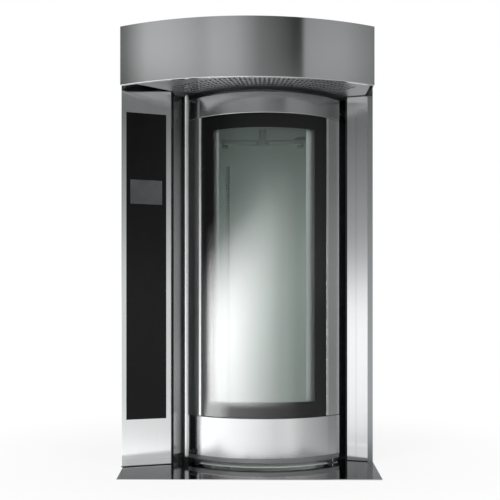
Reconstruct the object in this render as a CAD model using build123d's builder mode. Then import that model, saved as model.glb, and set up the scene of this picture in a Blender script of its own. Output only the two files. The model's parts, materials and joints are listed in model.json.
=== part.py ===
from build123d import *
from math import asin, cos, degrees, radians, sin, sqrt
import os

os.makedirs("parts", exist_ok=True)

# Case
case_width = 1364
case_depth = 1580
sheet = 2
roof_sheet = 3
touch_gap = 0.2
seam_gap = 0.6
panel_gap = 1
cut_margin = 1

# Floor
tray_thickness = 4
tray_front_y = -240
threshold_left_x = -637
threshold_right_x = 659
threshold_kink = (-654, -489)
edge_chamfer = 1
glass_chamfer = 0.5
panel_seam = 0.4
anchor_hole_radius = 6
anchor_spacing_x = 1240
anchor_spacing_y = 500
anchor_centre_y = 50

# Chamber
chamber_x = 88
chamber_y = 45
chamber_radius = 446
chamber_height = 1870
insulation_thickness = 50
floor_board = 12
floor_plate = 4
ceiling_plate = 3
ceiling_insulation = 60
deck_plate = 3
doorway_half_angle = 40
doorway_jamb_angle = 0.5
doorway_head_drop = 50
doorway_lintel = 4
ramp_reach = 94
ramp_flat = 4
ramp_toe = 1
ramp_side_gap_angle = 0.1
right_panel_count = 7
left_panel_count = 4
gasket_inner_angle = 41
gasket_outer_angle = 44
gasket_thickness = 7.3
gasket_above_doorway = 5
gasket_width = 25

# Air duct and slotted air panel
duct_start_angle = 115.5
duct_end_angle = 142.5
duct_low = 100
duct_high = 1800
air_panel_start_angle = 104
air_panel_end_angle = 156
air_panel_low = 60
air_panel_high = 1840
air_slot_width = 9
air_slot_height = 12
air_slot_pitch = 19
air_slot_rows = 84
air_slot_centre_z = 950
duct_plane_radius = 436
air_slot_pair_spacing = 15
air_slot_angles = (119.2, 129.2, 139.2)

# Lamps beside the doorway
lamp_angle = 44.8
lamp_half_angle = 2.2
lamp_depth = 16
lamp_low = 300
lamp_high = 1600

# Door
door_gap = 8
door_thickness = 42
door_half_angle = 48.5
door_sheet = 2
door_bottom = 28
door_above_deck = 15
sill_strip_height = 22
sill_strip_setback = 3
bottom_band_height = 211
top_band_height = 110
band_bevel = 1.2
top_flange_width = 30
end_return = 7
joint = 2.5
stile_angle = 39.35
trim_angle = 37.6
trim_gap_angle = 0.04
trim_proud = 2.5
trim_rounding = 1.5
outer_glass_thickness = 6
outer_glass_setback = 1
border_depth = 7
window_half_angle = 29.7
window_low_margin = 84
window_high_margin = 75
window_corner = 14
fixing_angle = 36.4
fixing_radius = 5
fixing_head = 1.5
fixing_stem_radius = 3
fixing_clearance = 0.3
fixing_low_margin = 269
fixing_high_margin = 276
inner_glass_thickness = 5
inner_window_half_angle = 31
inner_window_low = 320
inner_window_high = 1810
inner_glass_half_angle = 33.5
inner_glass_overlap = 10
clip_depth = 7.5
clip_sheet = 2
clip_outer_angle = 35
clip_leg_angle = 34
clip_left_angle = 27.7
clip_right_angle = 25.5

# Door handle
bar_radius = 11.3
bar_stand_off = 40
bar_angle = -134.8
bar_low = 39
bar_above_door = 15
bar_rounding = 7
bracket_radius = 8
top_bracket_inset = 9
bottom_bracket_inset = 14

# Door running gear
track_start_angle = -134
track_end_angle = 44
track_rise = 44
track_plate = 5
track_web = 3.5
track_web_height = 25
track_width = 40
roller_radius = 22
roller_width = 14
roller_angle = 36
roller_gap = 0.3
roller_inset = 24
roller_rounding = 1
axle_radius = 6
running_clearance = 0.05
axle_head_radius = 9
axle_head = 2.5
hanger_half_angle = 2
hanger_depth = 18
hanger_above_track = 7
hanger_height = 48
guide_angle = -45
guide_half_angle = 2
guide_plate = 4
guide_pin_radius = 4
guide_pin_height = 28
groove_width = 10
groove_depth = 12
deck_slot_start_angle = -142
deck_slot_end_angle = 54
deck_slot_radius = 556

# Canopy
canopy_half_width = 660
canopy_corner_y = -529
canopy_bulge = 157
canopy_height = 305
fascia_sheet = 2.5
fascia_lip = 16
soffit_above_door = 29
soffit_above_lip = 5
soffit_sheet = 2.5
soffit_left_x = -600
soffit_right_x = 640
soffit_column_gap = 5
hood_rear_y = -200
grille_half_angle = 42
grille_slot_count = 41
grille_slot_width = 12
grille_slot_length = 27
grille_row_pitch = 33
grille_row_count = 5
grille_inner_radius = 555
inner_row_radius = 484
inner_row_length = 20
inner_row_width = 6
closure_radius = 470
closure_half_angle = 60
member_width = 20
member_flare = 8
member_rear_gap = 22
member_gap = 2
member_corner_inset = 0.1
weld_depth = 0.3
collar_radius = 78
collar_wall = 2
collar_x = 400
collar_y = -380
collar_drop = 60
collar_rise = 40
pipe_flange_width = 16
pipe_flange = 2

# Control column
control_corner_inset = 21
control_corner_y = -479
control_face_width = 266.6
control_face_angle = 18.37
control_return_x = 5
control_return_y = 71
control_side_y = -305
control_top_rise = 50
control_glass_left = 26.3
control_glass_right = 238.6
control_glass_low = 252.7
control_glass_high = 1870.5
control_glass_thickness = 6
control_glass_proud = 1
glass_fit_gap = 0.4
pan_rim = 4
display_left = 46.4
display_right = 217.1
display_low = 1390
display_high = 1518
controller_width = 190
controller_height = 400
controller_depth = 90
controller_low = 1250
vent_width = 22
vent_height = 4
vent_pitch = 12
vent_rows = 20
vent_columns = 5

# Jamb and strike post left of the door
jamb_angle = -144.4
jamb_radius = 539
strike_clearance = 2
strike_start_angle = -143.8
strike_end_angle = -139.2
strike_depth = 46
skirting_low = 6
skirting_high = 46
column_below_soffit = 5

# Pocket column right of the door
pocket_clearance = 15
pocket_edge_angle = -36
pocket_run = 109
pocket_slope = -0.303
pocket_seam_run = 48
pocket_return_x = 30
pocket_return_y = 22
seal_radius = 554
seal_start_angle = -35.7
seal_end_angle = -34.7
seal_start = 0.1
seal_end = 0.4

# Cabinet frame
tube = 30
rail_height = 40
left_post_y = -280
right_post_y = -312

# Heat box
heat_side_margin = 42
heat_rear_margin = 46
heat_beside_axis = 200
heat_behind_axis = 290
heat_wall = 3
slab_thickness = 36
fan_from_side = 240
fan_from_rear = 179
fan_radius = 160
fan_height = 120
fan_below_deck = 290
fan_plate_gap = 17
fan_inlet_radius = 118
fan_disc = 3
fan_hub_radius = 30
fan_blade_count = 12
fan_blade_length = 60
fan_blade_radius = 122
fan_blade_tilt = 35
fan_shaft_radius = 12
fan_shaft_hole_radius = 16
fan_shaft_rise = 34
motor_radius = 92
motor_height = 210
motor_flange_radius = 120
motor_flange = 12
motor_fin_count = 24
motor_fin_height = 6
motor_fin_width = 3
motor_fin_margin = 20
heater_rod_count = 16
heater_rod_radius = 6
heater_circle_radius = 142
heater_ring_inner = 125
heater_ring = 6
heater_length = 940
steam_from_side = 190
steam_from_rear = 164
steam_width = 280
steam_depth = 240
steam_low = 150
steam_shelf_count = 6
steam_shelf_pitch = 85
steam_shelf = 6
steam_leg = 14

# Rack drive
shaft_radius = 20
shaft_hole_radius = 24
hook_below_ceiling = 60
hook_half_span = 240
hook_width = 50
hook_bar = 16
hook_boss_radius = 36
hook_boss = 30
claw_height = 44
claw_lip = 36
claw_wall = 12
gear_module = 3.5
tooth_root_modules = 1.25
tooth_tip_modules = 0.3
gear_fit = 0.05
gear_teeth = 56
pinion_teeth = 14
gear_above_deck = 114
gear_width = 25
pinion_overlap = 2
gear_bolt_radius = 5
gear_bolt_circle = 60
gear_bolt_count = 6
gear_hub_radius = 40
gear_hub = 8
carriage_above_deck = 154
carriage_half_width = 180
carriage_front = 140
carriage_rear = 175
carriage_plate = 10
post_radius = 10
post_x = 150
post_y = 110
post_height = 240
post_foot_radius = 20
post_foot = 10
bearing_radius = 55
bearing_height = 30
shaft_head_radius = 30
shaft_head = 15
pinion_shaft_radius = 8
pinion_shaft_length = 72
gearmotor_size = 110
gearmotor_height = 130
gearmotor_left = 55
gearmotor_cap_radius = 45
gearmotor_cap = 20
actuator_y = 150
actuator_radius = 25
actuator_height = 114
actuator_rod_radius = 8
actuator_rod_length = 120
actuator_floor = 30

# Flue and damper
flue_offset_x = 260
flue_offset_y = 230
flue_radius = 58
flue_wall = 2
flue_socket_length = 100
flue_socket_overlap = 10
damper_above_deck = 150
damper_gap = 0.4
damper_sheet = 2
damper_shaft_radius = 4
damper_lever_length = 60
damper_lever_width = 14
damper_lever = 4
damper_lever_gap = 8

# Services on the rear panel
fitting_reach = 20
louvre_width = 90
louvre_height = 8
louvre_pitch_x = 130
louvre_pitch_z = 26
louvre_columns = 6
louvre_rows = 7
louvre_drop = 150
water_x = -450
water_z = 660
water_pipe_radius = 8
water_pipe_bore = 6
water_pipe_length = 280
water_body_radius = 16
water_flange_radius = 24
water_thread_radius = 9.5
water_thread_depth = 18
fitting_inside = 14
fitting_flange = 5
gland_x = 520
gland_z = 1850
gland_radius = 15
gland_nut_radius = 20
gland_nut_sides = 6
gland_bore_radius = 9

# Levels
tray_top = tray_thickness
floor_top = tray_top + floor_board + floor_plate
ceiling_z = floor_top + chamber_height
deck_low = ceiling_z + ceiling_plate + ceiling_insulation
deck_top = deck_low + deck_plate
doorway_head = ceiling_z - doorway_head_drop
lintel_top = doorway_head + doorway_lintel
door_top = deck_top + door_above_deck
band_low = door_bottom + sill_strip_height
band_high = band_low + bottom_band_height
top_band_low = door_top - top_band_height
glass_low = band_high + joint
glass_high = top_band_low - joint
window_low = band_high + window_low_margin
window_high = top_band_low - window_high_margin
soffit_z = door_top + soffit_above_door
soffit_top = soffit_z + soffit_sheet
canopy_low = soffit_z - soffit_above_lip
case_top = canopy_low + canopy_height
roof_low = case_top - roof_sheet
column_top = soffit_z - column_below_soffit
column_rise_top = soffit_z + control_top_rise
rail_top = tray_top + rail_height
fan_low = deck_low - fan_below_deck
fan_plate_low = fan_low - fan_plate_gap
hook_top = ceiling_z - hook_below_ceiling
gear_low = deck_top + gear_above_deck
carriage_low = deck_top + carriage_above_deck
carriage_top = carriage_low + carriage_plate

# Radii about the chamber axis
liner_outer = chamber_radius + sheet
skin_inner = liner_outer + insulation_thickness
skin_outer = skin_inner + sheet
door_inner = skin_outer + door_gap
door_outer = door_inner + door_thickness
door_liner_outer = door_inner + door_sheet
band_inner = door_outer - door_sheet
glass_outer = door_outer - outer_glass_setback
glass_inner = glass_outer - outer_glass_thickness
border_outer = glass_inner - touch_gap / 2
border_inner = border_outer - border_depth
inner_glass_inner = door_liner_outer + touch_gap
clip_outer = door_liner_outer + clip_depth
bar_circle_radius = door_outer + bar_stand_off
track_top = top_band_low + track_rise
roller_z = track_top + roller_gap + roller_radius
roller_outer = door_outer - roller_inset
roller_inner = roller_outer - roller_width
hanger_inner = band_inner - hanger_depth
groove_centre = (door_inner + door_outer) / 2
door_wall_angle = degrees(door_sheet / door_outer)

# Case outline
front = -90
case_half = case_width / 2
front_y = -case_depth / 2
fitting_y = case_depth / 2
rear_y = fitting_y - fitting_reach
frame_half = case_half - sheet - panel_gap
frame_inner = frame_half - tube
frame_rear_y = rear_y - sheet - panel_gap
flue_x = chamber_x + flue_offset_x
flue_y = chamber_y + flue_offset_y
damper_z = deck_top + damper_above_deck
pinion_x = gear_module * (gear_teeth + pinion_teeth) / 2

# Heat box outline
heat_left_x = -case_half + heat_side_margin
heat_right_x = chamber_x - heat_beside_axis
heat_front_y = chamber_y + heat_behind_axis
heat_rear_y = rear_y - heat_rear_margin
fan_x = heat_left_x + fan_from_side
fan_y = heat_rear_y - fan_from_rear
steam_x = heat_left_x + steam_from_side
steam_y = heat_rear_y - steam_from_rear


def polar(radius, angle):
    """A point at a radius and angle about the chamber axis."""
    return (
        chamber_x + radius * cos(radians(angle)),
        chamber_y + radius * sin(radians(angle)),
    )


chamber_centre = (chamber_x, chamber_y)

# Corners of the columns, seen from above
side_corner = (-case_half, control_side_y)
face_left = (-case_half + control_corner_inset, control_corner_y)
face_right = (
    face_left[0] + control_face_width * cos(radians(control_face_angle)),
    face_left[1] + control_face_width * sin(radians(control_face_angle)),
)
return_end = (face_right[0] + control_return_x, face_right[1] + control_return_y)
jamb_start = (return_end[0], return_end[1] + seam_gap)
jamb_corner = polar(jamb_radius, jamb_angle)
jamb_inner = polar(skin_outer + strike_clearance, jamb_angle)
pocket_edge = polar(door_outer + pocket_clearance, pocket_edge_angle)
pocket_seam = (
    pocket_edge[0] + pocket_seam_run,
    pocket_edge[1] + pocket_seam_run * pocket_slope,
)
pocket_outer = (
    pocket_edge[0] + pocket_run,
    pocket_edge[1] + pocket_run * pocket_slope,
)
pocket_return = (pocket_edge[0] + pocket_return_x, pocket_edge[1] + pocket_return_y)
side_right_y = pocket_outer[1]

chamber_axis = Plane((chamber_x, chamber_y, 0))
spin_axis = Axis((chamber_x, chamber_y, 0), (0, 0, 1))
face_plane = Plane(
    origin=(face_left[0], face_left[1], 0),
    x_dir=(cos(radians(control_face_angle)), sin(radians(control_face_angle)), 0),
    z_dir=(sin(radians(control_face_angle)), -cos(radians(control_face_angle)), 0),
)


def radial_plane(radius, angle, height):
    """A plane that faces outwards from the chamber axis."""
    x, y = polar(radius, angle)
    return Plane(
        origin=(x, y, height),
        x_dir=(-sin(radians(angle)), cos(radians(angle)), 0),
        z_dir=(cos(radians(angle)), sin(radians(angle)), 0),
    )


def section_plane(angle):
    """An upright plane through the chamber axis, with x outwards and y up."""
    return Plane(
        origin=(chamber_x, chamber_y, 0),
        x_dir=(cos(radians(angle)), sin(radians(angle)), 0),
        z_dir=(sin(radians(angle)), -cos(radians(angle)), 0),
    )


def ring_sector(inner, outer, start, end):
    """Draw a sector of a ring about the origin of the current sketch."""
    with BuildLine() as outline:
        outside = CenterArc((0, 0), outer, start, end - start)
        inside = CenterArc((0, 0), inner, start, end - start)
        Line(outside @ 0, inside @ 0)
        Line(outside @ 1, inside @ 1)
    make_face(outline.edges())


def curved_wall(inner, outer, start, end, low, high, mode=Mode.ADD):
    """Add or cut a curved wall about the chamber axis."""
    with BuildSketch(chamber_axis.offset(low)) as outline:
        ring_sector(inner, outer, start, end)
    extrude(outline.sketch, amount=high - low, mode=mode)


def front_wall(inner, outer, half_angle, low, high, mode=Mode.ADD):
    """Add or cut a curved wall centred on the front of the chamber."""
    curved_wall(inner, outer, front - half_angle, front + half_angle, low, high, mode)


def upright_ring(inner, outer, centre, low, high, mode=Mode.ADD):
    """Add or cut an upright tube."""
    with BuildSketch(Plane.XY.offset(low)) as outline:
        with Locations(centre):
            Circle(outer)
            Circle(inner, mode=Mode.SUBTRACT)
    extrude(outline.sketch, amount=high - low, mode=mode)


def upright_rod(radius, centre, low, high, mode=Mode.ADD):
    """Add or cut an upright cylinder."""
    with BuildSketch(Plane.XY.offset(low)) as outline:
        with Locations(centre):
            Circle(radius)
    extrude(outline.sketch, amount=high - low, mode=mode)


def block(x0, x1, y0, y1, low, high, mode=Mode.ADD):
    """Add or cut a box between two corners."""
    with BuildSketch(Plane.XY.offset(low)) as outline:
        with Locations(((x0 + x1) / 2, (y0 + y1) / 2)):
            Rectangle(x1 - x0, y1 - y0)
    extrude(outline.sketch, amount=high - low, mode=mode)


def slab(points, low, high, mode=Mode.ADD):
    """Add or cut a flat plate with a straight-sided outline."""
    with BuildSketch(Plane.XY.offset(low)) as outline:
        with BuildLine():
            Polyline(*points, close=True)
        make_face()
    extrude(outline.sketch, amount=high - low, mode=mode)


def folded_sheet(points, low, high, side=Side.LEFT):
    """Add an upright folded sheet whose one face follows the points."""
    with BuildSketch(Plane.XY.offset(low)) as outline:
        with BuildLine():
            Polyline(*points)
            offset(amount=sheet, side=side)
        make_face()
    extrude(outline.sketch, amount=high - low)


def rod_along_y(radius, x, z, y0, y1, mode=Mode.ADD):
    """Add or cut a cylinder that runs from front to rear."""
    with BuildSketch(Plane.XZ.offset(-y1)) as outline:
        with Locations((x, z)):
            Circle(radius)
    extrude(outline.sketch, amount=y1 - y0, mode=mode)


def radial_rod(radius, angle, height, inner, outer, mode=Mode.ADD):
    """Add or cut a cylinder that points away from the chamber axis."""
    with BuildSketch(radial_plane(inner, angle, height)) as outline:
        Circle(radius)
    extrude(outline.sketch, amount=outer - inner, mode=mode)


def face_block(x0, x1, low, high, front_depth, rear_depth, mode=Mode.ADD):
    """Add or cut a box behind the face of the control column."""
    with BuildSketch(face_plane.offset(-rear_depth)) as outline:
        with Locations(((x0 + x1) / 2, (low + high) / 2)):
            Rectangle(x1 - x0, high - low)
    extrude(outline.sketch, amount=rear_depth - front_depth, mode=mode)


def cut_doorway(inner, outer):
    """Cut the doorway, with its frame, out of a wall of the chamber."""
    half_angle = doorway_half_angle + doorway_jamb_angle
    front_wall(inner, outer, half_angle, tray_top, lintel_top, mode=Mode.SUBTRACT)


def cut_duct(inner, outer):
    """Cut the air duct out of a wall of the chamber."""
    curved_wall(
        inner,
        outer,
        duct_start_angle,
        duct_end_angle,
        duct_low,
        duct_high,
        mode=Mode.SUBTRACT,
    )


def panelled_wall(inner, outer, high):
    """Add a wall of the chamber as a lintel and curved panels with narrow seams."""
    jamb_angle_end = doorway_half_angle + doorway_jamb_angle
    seam_angle = degrees(panel_seam / outer) / 2
    front_wall(inner, outer, jamb_angle_end - seam_angle, lintel_top, high)
    for start, end, count in (
        (front + jamb_angle_end, duct_start_angle, right_panel_count),
        (duct_end_angle, front + 360 - jamb_angle_end, left_panel_count),
    ):
        step = (end - start) / count
        for panel in range(count):
            curved_wall(
                inner,
                outer,
                start + panel * step + seam_angle,
                start + (panel + 1) * step - seam_angle,
                tray_top,
                high,
            )
    for low, top in ((tray_top, duct_low), (duct_high, high)):
        curved_wall(
            inner,
            outer,
            duct_start_angle + seam_angle,
            duct_end_angle - seam_angle,
            low,
            top,
        )


def spur_teeth(teeth, turned):
    """Draw a ring of gear teeth about the origin of the current sketch."""
    pitch_radius = gear_module * teeth / 2
    root_radius = pitch_radius - tooth_root_modules * gear_module
    tip_radius = pitch_radius + gear_module
    Circle(root_radius)
    with PolarLocations(0, teeth, turned):
        Polygon(
            (root_radius - cut_margin, -gear_module),
            (tip_radius, -tooth_tip_modules * gear_module),
            (tip_radius, tooth_tip_modules * gear_module),
            (root_radius - cut_margin, gear_module),
            align=None,
        )


# Base tray, under the chamber and the case
with BuildPart() as base_tray:
    block(-case_half, case_half, tray_front_y, rear_y, 0, tray_top)
    upright_rod(skin_outer, (chamber_x, chamber_y), 0, tray_top)
    with Locations((0, anchor_centre_y, tray_top)):
        with GridLocations(anchor_spacing_x, anchor_spacing_y, 2, 2):
            Hole(anchor_hole_radius, depth=tray_top)
base_tray.part.label = "base_tray"
export_step(base_tray.part, "parts/base_tray.step")

# Polished plate in front of the chamber
with BuildPart() as threshold_plate:
    slab(
        (
            (threshold_left_x, front_y),
            (threshold_right_x, front_y),
            (case_half, side_right_y),
            (case_half, tray_front_y),
            (-case_half, tray_front_y),
            side_corner,
            face_left,
            threshold_kink,
        ),
        0,
        tray_top,
    )
    chamfer(
        threshold_plate.edges().group_by(Axis.Z)[-1].sort_by(Axis.Y)[0],
        length=edge_chamfer,
    )
    upright_rod(skin_outer, (chamber_x, chamber_y), 0, tray_top, mode=Mode.SUBTRACT)
threshold_plate.part.label = "threshold_plate"
export_step(threshold_plate.part, "parts/threshold_plate.step")

# Welded frame of square tube
with BuildPart() as cabinet_frame:
    for low, high in ((tray_top, rail_top), (roof_low - rail_height, roof_low)):
        block(-frame_half, -frame_inner, left_post_y, frame_rear_y, low, high)
        block(frame_inner, frame_half, right_post_y, frame_rear_y, low, high)
        block(-frame_inner, frame_inner, frame_rear_y - tube, frame_rear_y, low, high)
    block(
        -frame_inner,
        frame_inner,
        hood_rear_y,
        hood_rear_y + tube,
        roof_low - rail_height,
        roof_low,
    )
    for post_left_x, post_front_y in (
        (-frame_half, left_post_y),
        (frame_inner, right_post_y),
        (-frame_half, frame_rear_y - tube),
        (frame_inner, frame_rear_y - tube),
    ):
        block(
            post_left_x,
            post_left_x + tube,
            post_front_y,
            post_front_y + tube,
            tray_top,
            roof_low,
        )
cabinet_frame.part.label = "cabinet_frame"
export_step(cabinet_frame.part, "parts/cabinet_frame.step")

# Outer panels
with BuildPart() as side_panel_left:
    block(
        -case_half,
        -case_half + sheet,
        control_side_y + seam_gap,
        rear_y - sheet,
        tray_top,
        roof_low,
    )
side_panel_left.part.label = "side_panel_left"
export_step(side_panel_left.part, "parts/side_panel_left.step")

with BuildPart() as side_panel_right:
    block(case_half - sheet, case_half, side_right_y, rear_y - sheet, tray_top, roof_low)
    block(
        pocket_outer[0] + seam_gap,
        case_half,
        side_right_y,
        side_right_y + sheet,
        tray_top,
        column_top,
    )
side_panel_right.part.label = "side_panel_right"
export_step(side_panel_right.part, "parts/side_panel_right.step")

with BuildPart() as rear_panel:
    block(-case_half, case_half, rear_y - sheet, rear_y, tray_top, roof_low)
    with BuildSketch(Plane.XZ.offset(-rear_y)):
        with Locations((0, roof_low - louvre_drop)):
            with GridLocations(louvre_pitch_x, louvre_pitch_z, louvre_columns, louvre_rows):
                SlotOverall(louvre_width, louvre_height)
        with Locations((water_x, water_z)):
            Circle(water_body_radius + touch_gap)
        with Locations((gland_x, gland_z)):
            Circle(gland_radius + touch_gap)
    extrude(amount=sheet, mode=Mode.SUBTRACT)
rear_panel.part.label = "rear_panel"
export_step(rear_panel.part, "parts/rear_panel.step")

# Canopy: the front is one sheet rolled to a large radius
fascia_radius = (canopy_half_width**2 + canopy_bulge**2) / (2 * canopy_bulge)
fascia_centre_y = canopy_corner_y - canopy_bulge + fascia_radius
fascia_half_angle = degrees(asin(canopy_half_width / fascia_radius))
fascia_inner = fascia_radius - fascia_sheet
fascia_plane = Plane((0, fascia_centre_y, 0))


def fascia_point(x):
    """The point on the inner face of the canopy front at this x."""
    return (x, fascia_centre_y - sqrt(fascia_inner**2 - x**2))


def weld_point(x):
    """A point just inside the canopy front, where a side member is welded on."""
    return (x, fascia_point(x)[1] - weld_depth)


with BuildPart() as canopy_fascia:
    fascia_start = front - fascia_half_angle
    fascia_end = front + fascia_half_angle
    with BuildSketch(fascia_plane.offset(canopy_low)):
        ring_sector(fascia_inner, fascia_radius, fascia_start, fascia_end)
    extrude(amount=canopy_height)
    with BuildSketch(fascia_plane.offset(canopy_low)):
        ring_sector(fascia_inner - fascia_lip, fascia_inner, fascia_start, fascia_end)
    extrude(amount=fascia_sheet)
    member_rear_y = side_right_y - member_rear_gap
    folded_sheet(
        (
            (canopy_half_width - member_width, member_rear_y),
            weld_point(canopy_half_width - member_width),
            weld_point(canopy_half_width - member_corner_inset),
            (canopy_half_width + member_flare, member_rear_y),
        ),
        soffit_top,
        roof_low,
    )
    left_member_y = control_corner_y - seam_gap - member_gap
    left_member = (
        (-canopy_half_width + member_width, left_member_y),
        weld_point(-canopy_half_width + member_width),
        weld_point(-canopy_half_width + member_corner_inset),
        (face_left[0], left_member_y),
    )
    side_cover_low = column_rise_top + seam_gap
    folded_sheet(left_member, soffit_top, side_cover_low, side=Side.RIGHT)
    folded_sheet((*left_member, side_corner), side_cover_low, roof_low, side=Side.RIGHT)
canopy_fascia.part.label = "canopy_fascia"
export_step(canopy_fascia.part, "parts/canopy_fascia.step")

roof_corner_left = fascia_point(-canopy_half_width + fascia_sheet)
roof_corner_right = fascia_point(canopy_half_width - fascia_sheet)

with BuildPart() as roof_cover:
    with BuildSketch(Plane.XY.offset(roof_low)):
        with BuildLine():
            ThreePointArc(roof_corner_left, fascia_point(0), roof_corner_right)
            Polyline(
                roof_corner_right,
                (case_half, side_right_y),
                (case_half, rear_y),
                (-case_half, rear_y),
                side_corner,
                roof_corner_left,
            )
        make_face()
        with Locations((collar_x, collar_y)):
            Circle(collar_radius + collar_wall, mode=Mode.SUBTRACT)
        with Locations((flue_x, flue_y)):
            Circle(flue_radius + 2 * flue_wall + touch_gap, mode=Mode.SUBTRACT)
    extrude(amount=roof_sheet)
roof_cover.part.label = "roof_cover"
export_step(roof_cover.part, "parts/roof_cover.step")

with BuildPart() as hood_soffit:
    soffit_front_left = fascia_point(soffit_left_x)
    soffit_front_right = fascia_point(soffit_right_x)
    soffit_inner_x = return_end[0] + soffit_column_gap
    with BuildSketch(Plane.XY.offset(soffit_z)):
        with BuildLine():
            ThreePointArc(soffit_front_left, fascia_point(0), soffit_front_right)
            Polyline(
                soffit_front_right,
                (soffit_right_x, hood_rear_y),
                (soffit_inner_x, hood_rear_y),
                (soffit_inner_x, return_end[1]),
                (face_right[0] + soffit_column_gap, face_right[1] - soffit_column_gap),
                soffit_front_left,
            )
        make_face()
    extrude(amount=soffit_sheet)
    with BuildSketch(chamber_axis.offset(soffit_z)):
        for row in range(grille_row_count):
            with PolarLocations(
                grille_inner_radius + grille_slot_length / 2 + row * grille_row_pitch,
                grille_slot_count,
                front - grille_half_angle,
                2 * grille_half_angle,
                endpoint=True,
            ):
                SlotOverall(grille_slot_length, grille_slot_width)
        with PolarLocations(
            inner_row_radius,
            grille_slot_count,
            front - grille_half_angle,
            2 * grille_half_angle,
            endpoint=True,
        ):
            SlotOverall(inner_row_length, inner_row_width)
    extrude(amount=soffit_sheet, mode=Mode.SUBTRACT)
hood_soffit.part.label = "hood_soffit"
export_step(hood_soffit.part, "parts/hood_soffit.step")

with BuildPart() as hood_back_wall:
    block(-frame_inner, frame_inner, hood_rear_y - sheet, hood_rear_y, soffit_top, roof_low)
    front_wall(
        closure_radius,
        closure_radius + sheet,
        closure_half_angle,
        deck_top,
        soffit_z,
    )
hood_back_wall.part.label = "hood_back_wall"
export_step(hood_back_wall.part, "parts/hood_back_wall.step")

with BuildPart() as hood_collar:
    collar_centre = (collar_x, collar_y)
    collar_outer = collar_radius + collar_wall - touch_gap
    upright_ring(
        collar_radius,
        collar_outer,
        collar_centre,
        case_top - collar_drop,
        case_top + collar_rise,
    )
    upright_ring(
        collar_radius,
        collar_outer + pipe_flange_width,
        collar_centre,
        case_top,
        case_top + pipe_flange,
    )
hood_collar.part.label = "hood_collar"
export_step(hood_collar.part, "parts/hood_collar.step")

# Control column left of the door
with BuildPart() as control_column:
    folded_sheet((side_corner, face_left, face_right, return_end), tray_top, column_rise_top)
    glass_rear = control_glass_thickness - control_glass_proud
    face_block(
        control_glass_left - pan_rim,
        control_glass_right + pan_rim,
        control_glass_low - pan_rim,
        control_glass_high + pan_rim,
        sheet,
        glass_rear + sheet,
    )
    face_block(
        control_glass_left - glass_fit_gap,
        control_glass_right + glass_fit_gap,
        control_glass_low - glass_fit_gap,
        control_glass_high + glass_fit_gap,
        -cut_margin,
        glass_rear,
        mode=Mode.SUBTRACT,
    )
control_column.part.label = "control_column"
export_step(control_column.part, "parts/control_column.step")

with BuildPart() as control_glass:
    face_block(
        control_glass_left,
        control_glass_right,
        control_glass_low,
        control_glass_high,
        -control_glass_proud,
        glass_rear,
    )
    chamfer(
        control_glass.faces().sort_by(Axis(face_plane.origin, face_plane.z_dir))[-1].edges(),
        length=glass_chamfer,
    )
    face_block(
        display_left,
        display_right,
        display_low,
        display_high,
        -control_glass_proud - cut_margin,
        glass_rear + cut_margin,
        mode=Mode.SUBTRACT,
    )
control_glass.part.label = "control_glass"
export_step(control_glass.part, "parts/control_glass.step")

with BuildPart() as display_panel:
    face_block(
        display_left + touch_gap,
        display_right - touch_gap,
        display_low + touch_gap,
        display_high - touch_gap,
        -control_glass_proud,
        glass_rear,
    )
display_panel.part.label = "display_panel"
export_step(display_panel.part, "parts/display_panel.step")

with BuildPart() as controller_box:
    control_centre = (control_glass_left + control_glass_right) / 2
    face_block(
        control_centre - controller_width / 2,
        control_centre + controller_width / 2,
        controller_low,
        controller_low + controller_height,
        glass_rear + sheet,
        glass_rear + sheet + controller_depth,
    )
    face_block(
        control_centre - controller_width / 2 + sheet,
        control_centre + controller_width / 2 - sheet,
        controller_low + sheet,
        controller_low + controller_height - sheet,
        glass_rear + 2 * sheet,
        glass_rear + controller_depth,
        mode=Mode.SUBTRACT,
    )
    with BuildSketch(face_plane.offset(-glass_rear - sheet - controller_depth)):
        with Locations((control_centre, controller_low + controller_height / 2)):
            with GridLocations(
                controller_width / (vent_columns + 1),
                vent_pitch,
                vent_columns,
                vent_rows,
            ):
                SlotOverall(vent_width, vent_height)
    extrude(amount=sheet, mode=Mode.SUBTRACT)
controller_box.part.label = "controller_box"
export_step(controller_box.part, "parts/controller_box.step")

# Jamb and strike post left of the door
with BuildPart() as door_jamb:
    folded_sheet((jamb_start, jamb_corner, jamb_inner), tray_top, column_top)
    folded_sheet((jamb_start, jamb_corner), skirting_low, skirting_high, side=Side.RIGHT)
door_jamb.part.label = "door_jamb"
export_step(door_jamb.part, "parts/door_jamb.step")

with BuildPart() as strike_post:
    strike_inner = skin_outer + strike_clearance
    curved_wall(
        strike_inner,
        strike_inner + strike_depth,
        strike_start_angle,
        strike_end_angle,
        tray_top,
        column_top,
    )
    curved_wall(
        strike_inner + sheet,
        strike_inner + strike_depth - sheet,
        strike_start_angle + door_wall_angle,
        strike_end_angle - door_wall_angle,
        tray_top,
        column_top,
        mode=Mode.SUBTRACT,
    )
strike_post.part.label = "strike_post"
export_step(strike_post.part, "parts/strike_post.step")

# Pocket column right of the door, in two folded sheets
with BuildPart() as pocket_column:
    folded_sheet((pocket_return, pocket_edge, pocket_seam), tray_top, column_top)
    folded_sheet(
        ((pocket_seam[0] + seam_gap, pocket_seam[1]), pocket_outer),
        tray_top,
        column_top,
    )
pocket_column.part.label = "pocket_column"
export_step(pocket_column.part, "parts/pocket_column.step")

with BuildPart() as pocket_seal:
    slab(
        (
            (
                pocket_edge[0] + pocket_return_x * seal_start,
                pocket_edge[1] + pocket_return_y * seal_start,
            ),
            (
                pocket_edge[0] + pocket_return_x * seal_end,
                pocket_edge[1] + pocket_return_y * seal_end,
            ),
            polar(seal_radius, seal_end_angle),
            polar(seal_radius, seal_start_angle),
        ),
        tray_top,
        column_top,
    )
pocket_seal.part.label = "pocket_seal"
export_step(pocket_seal.part, "parts/pocket_seal.step")

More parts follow.
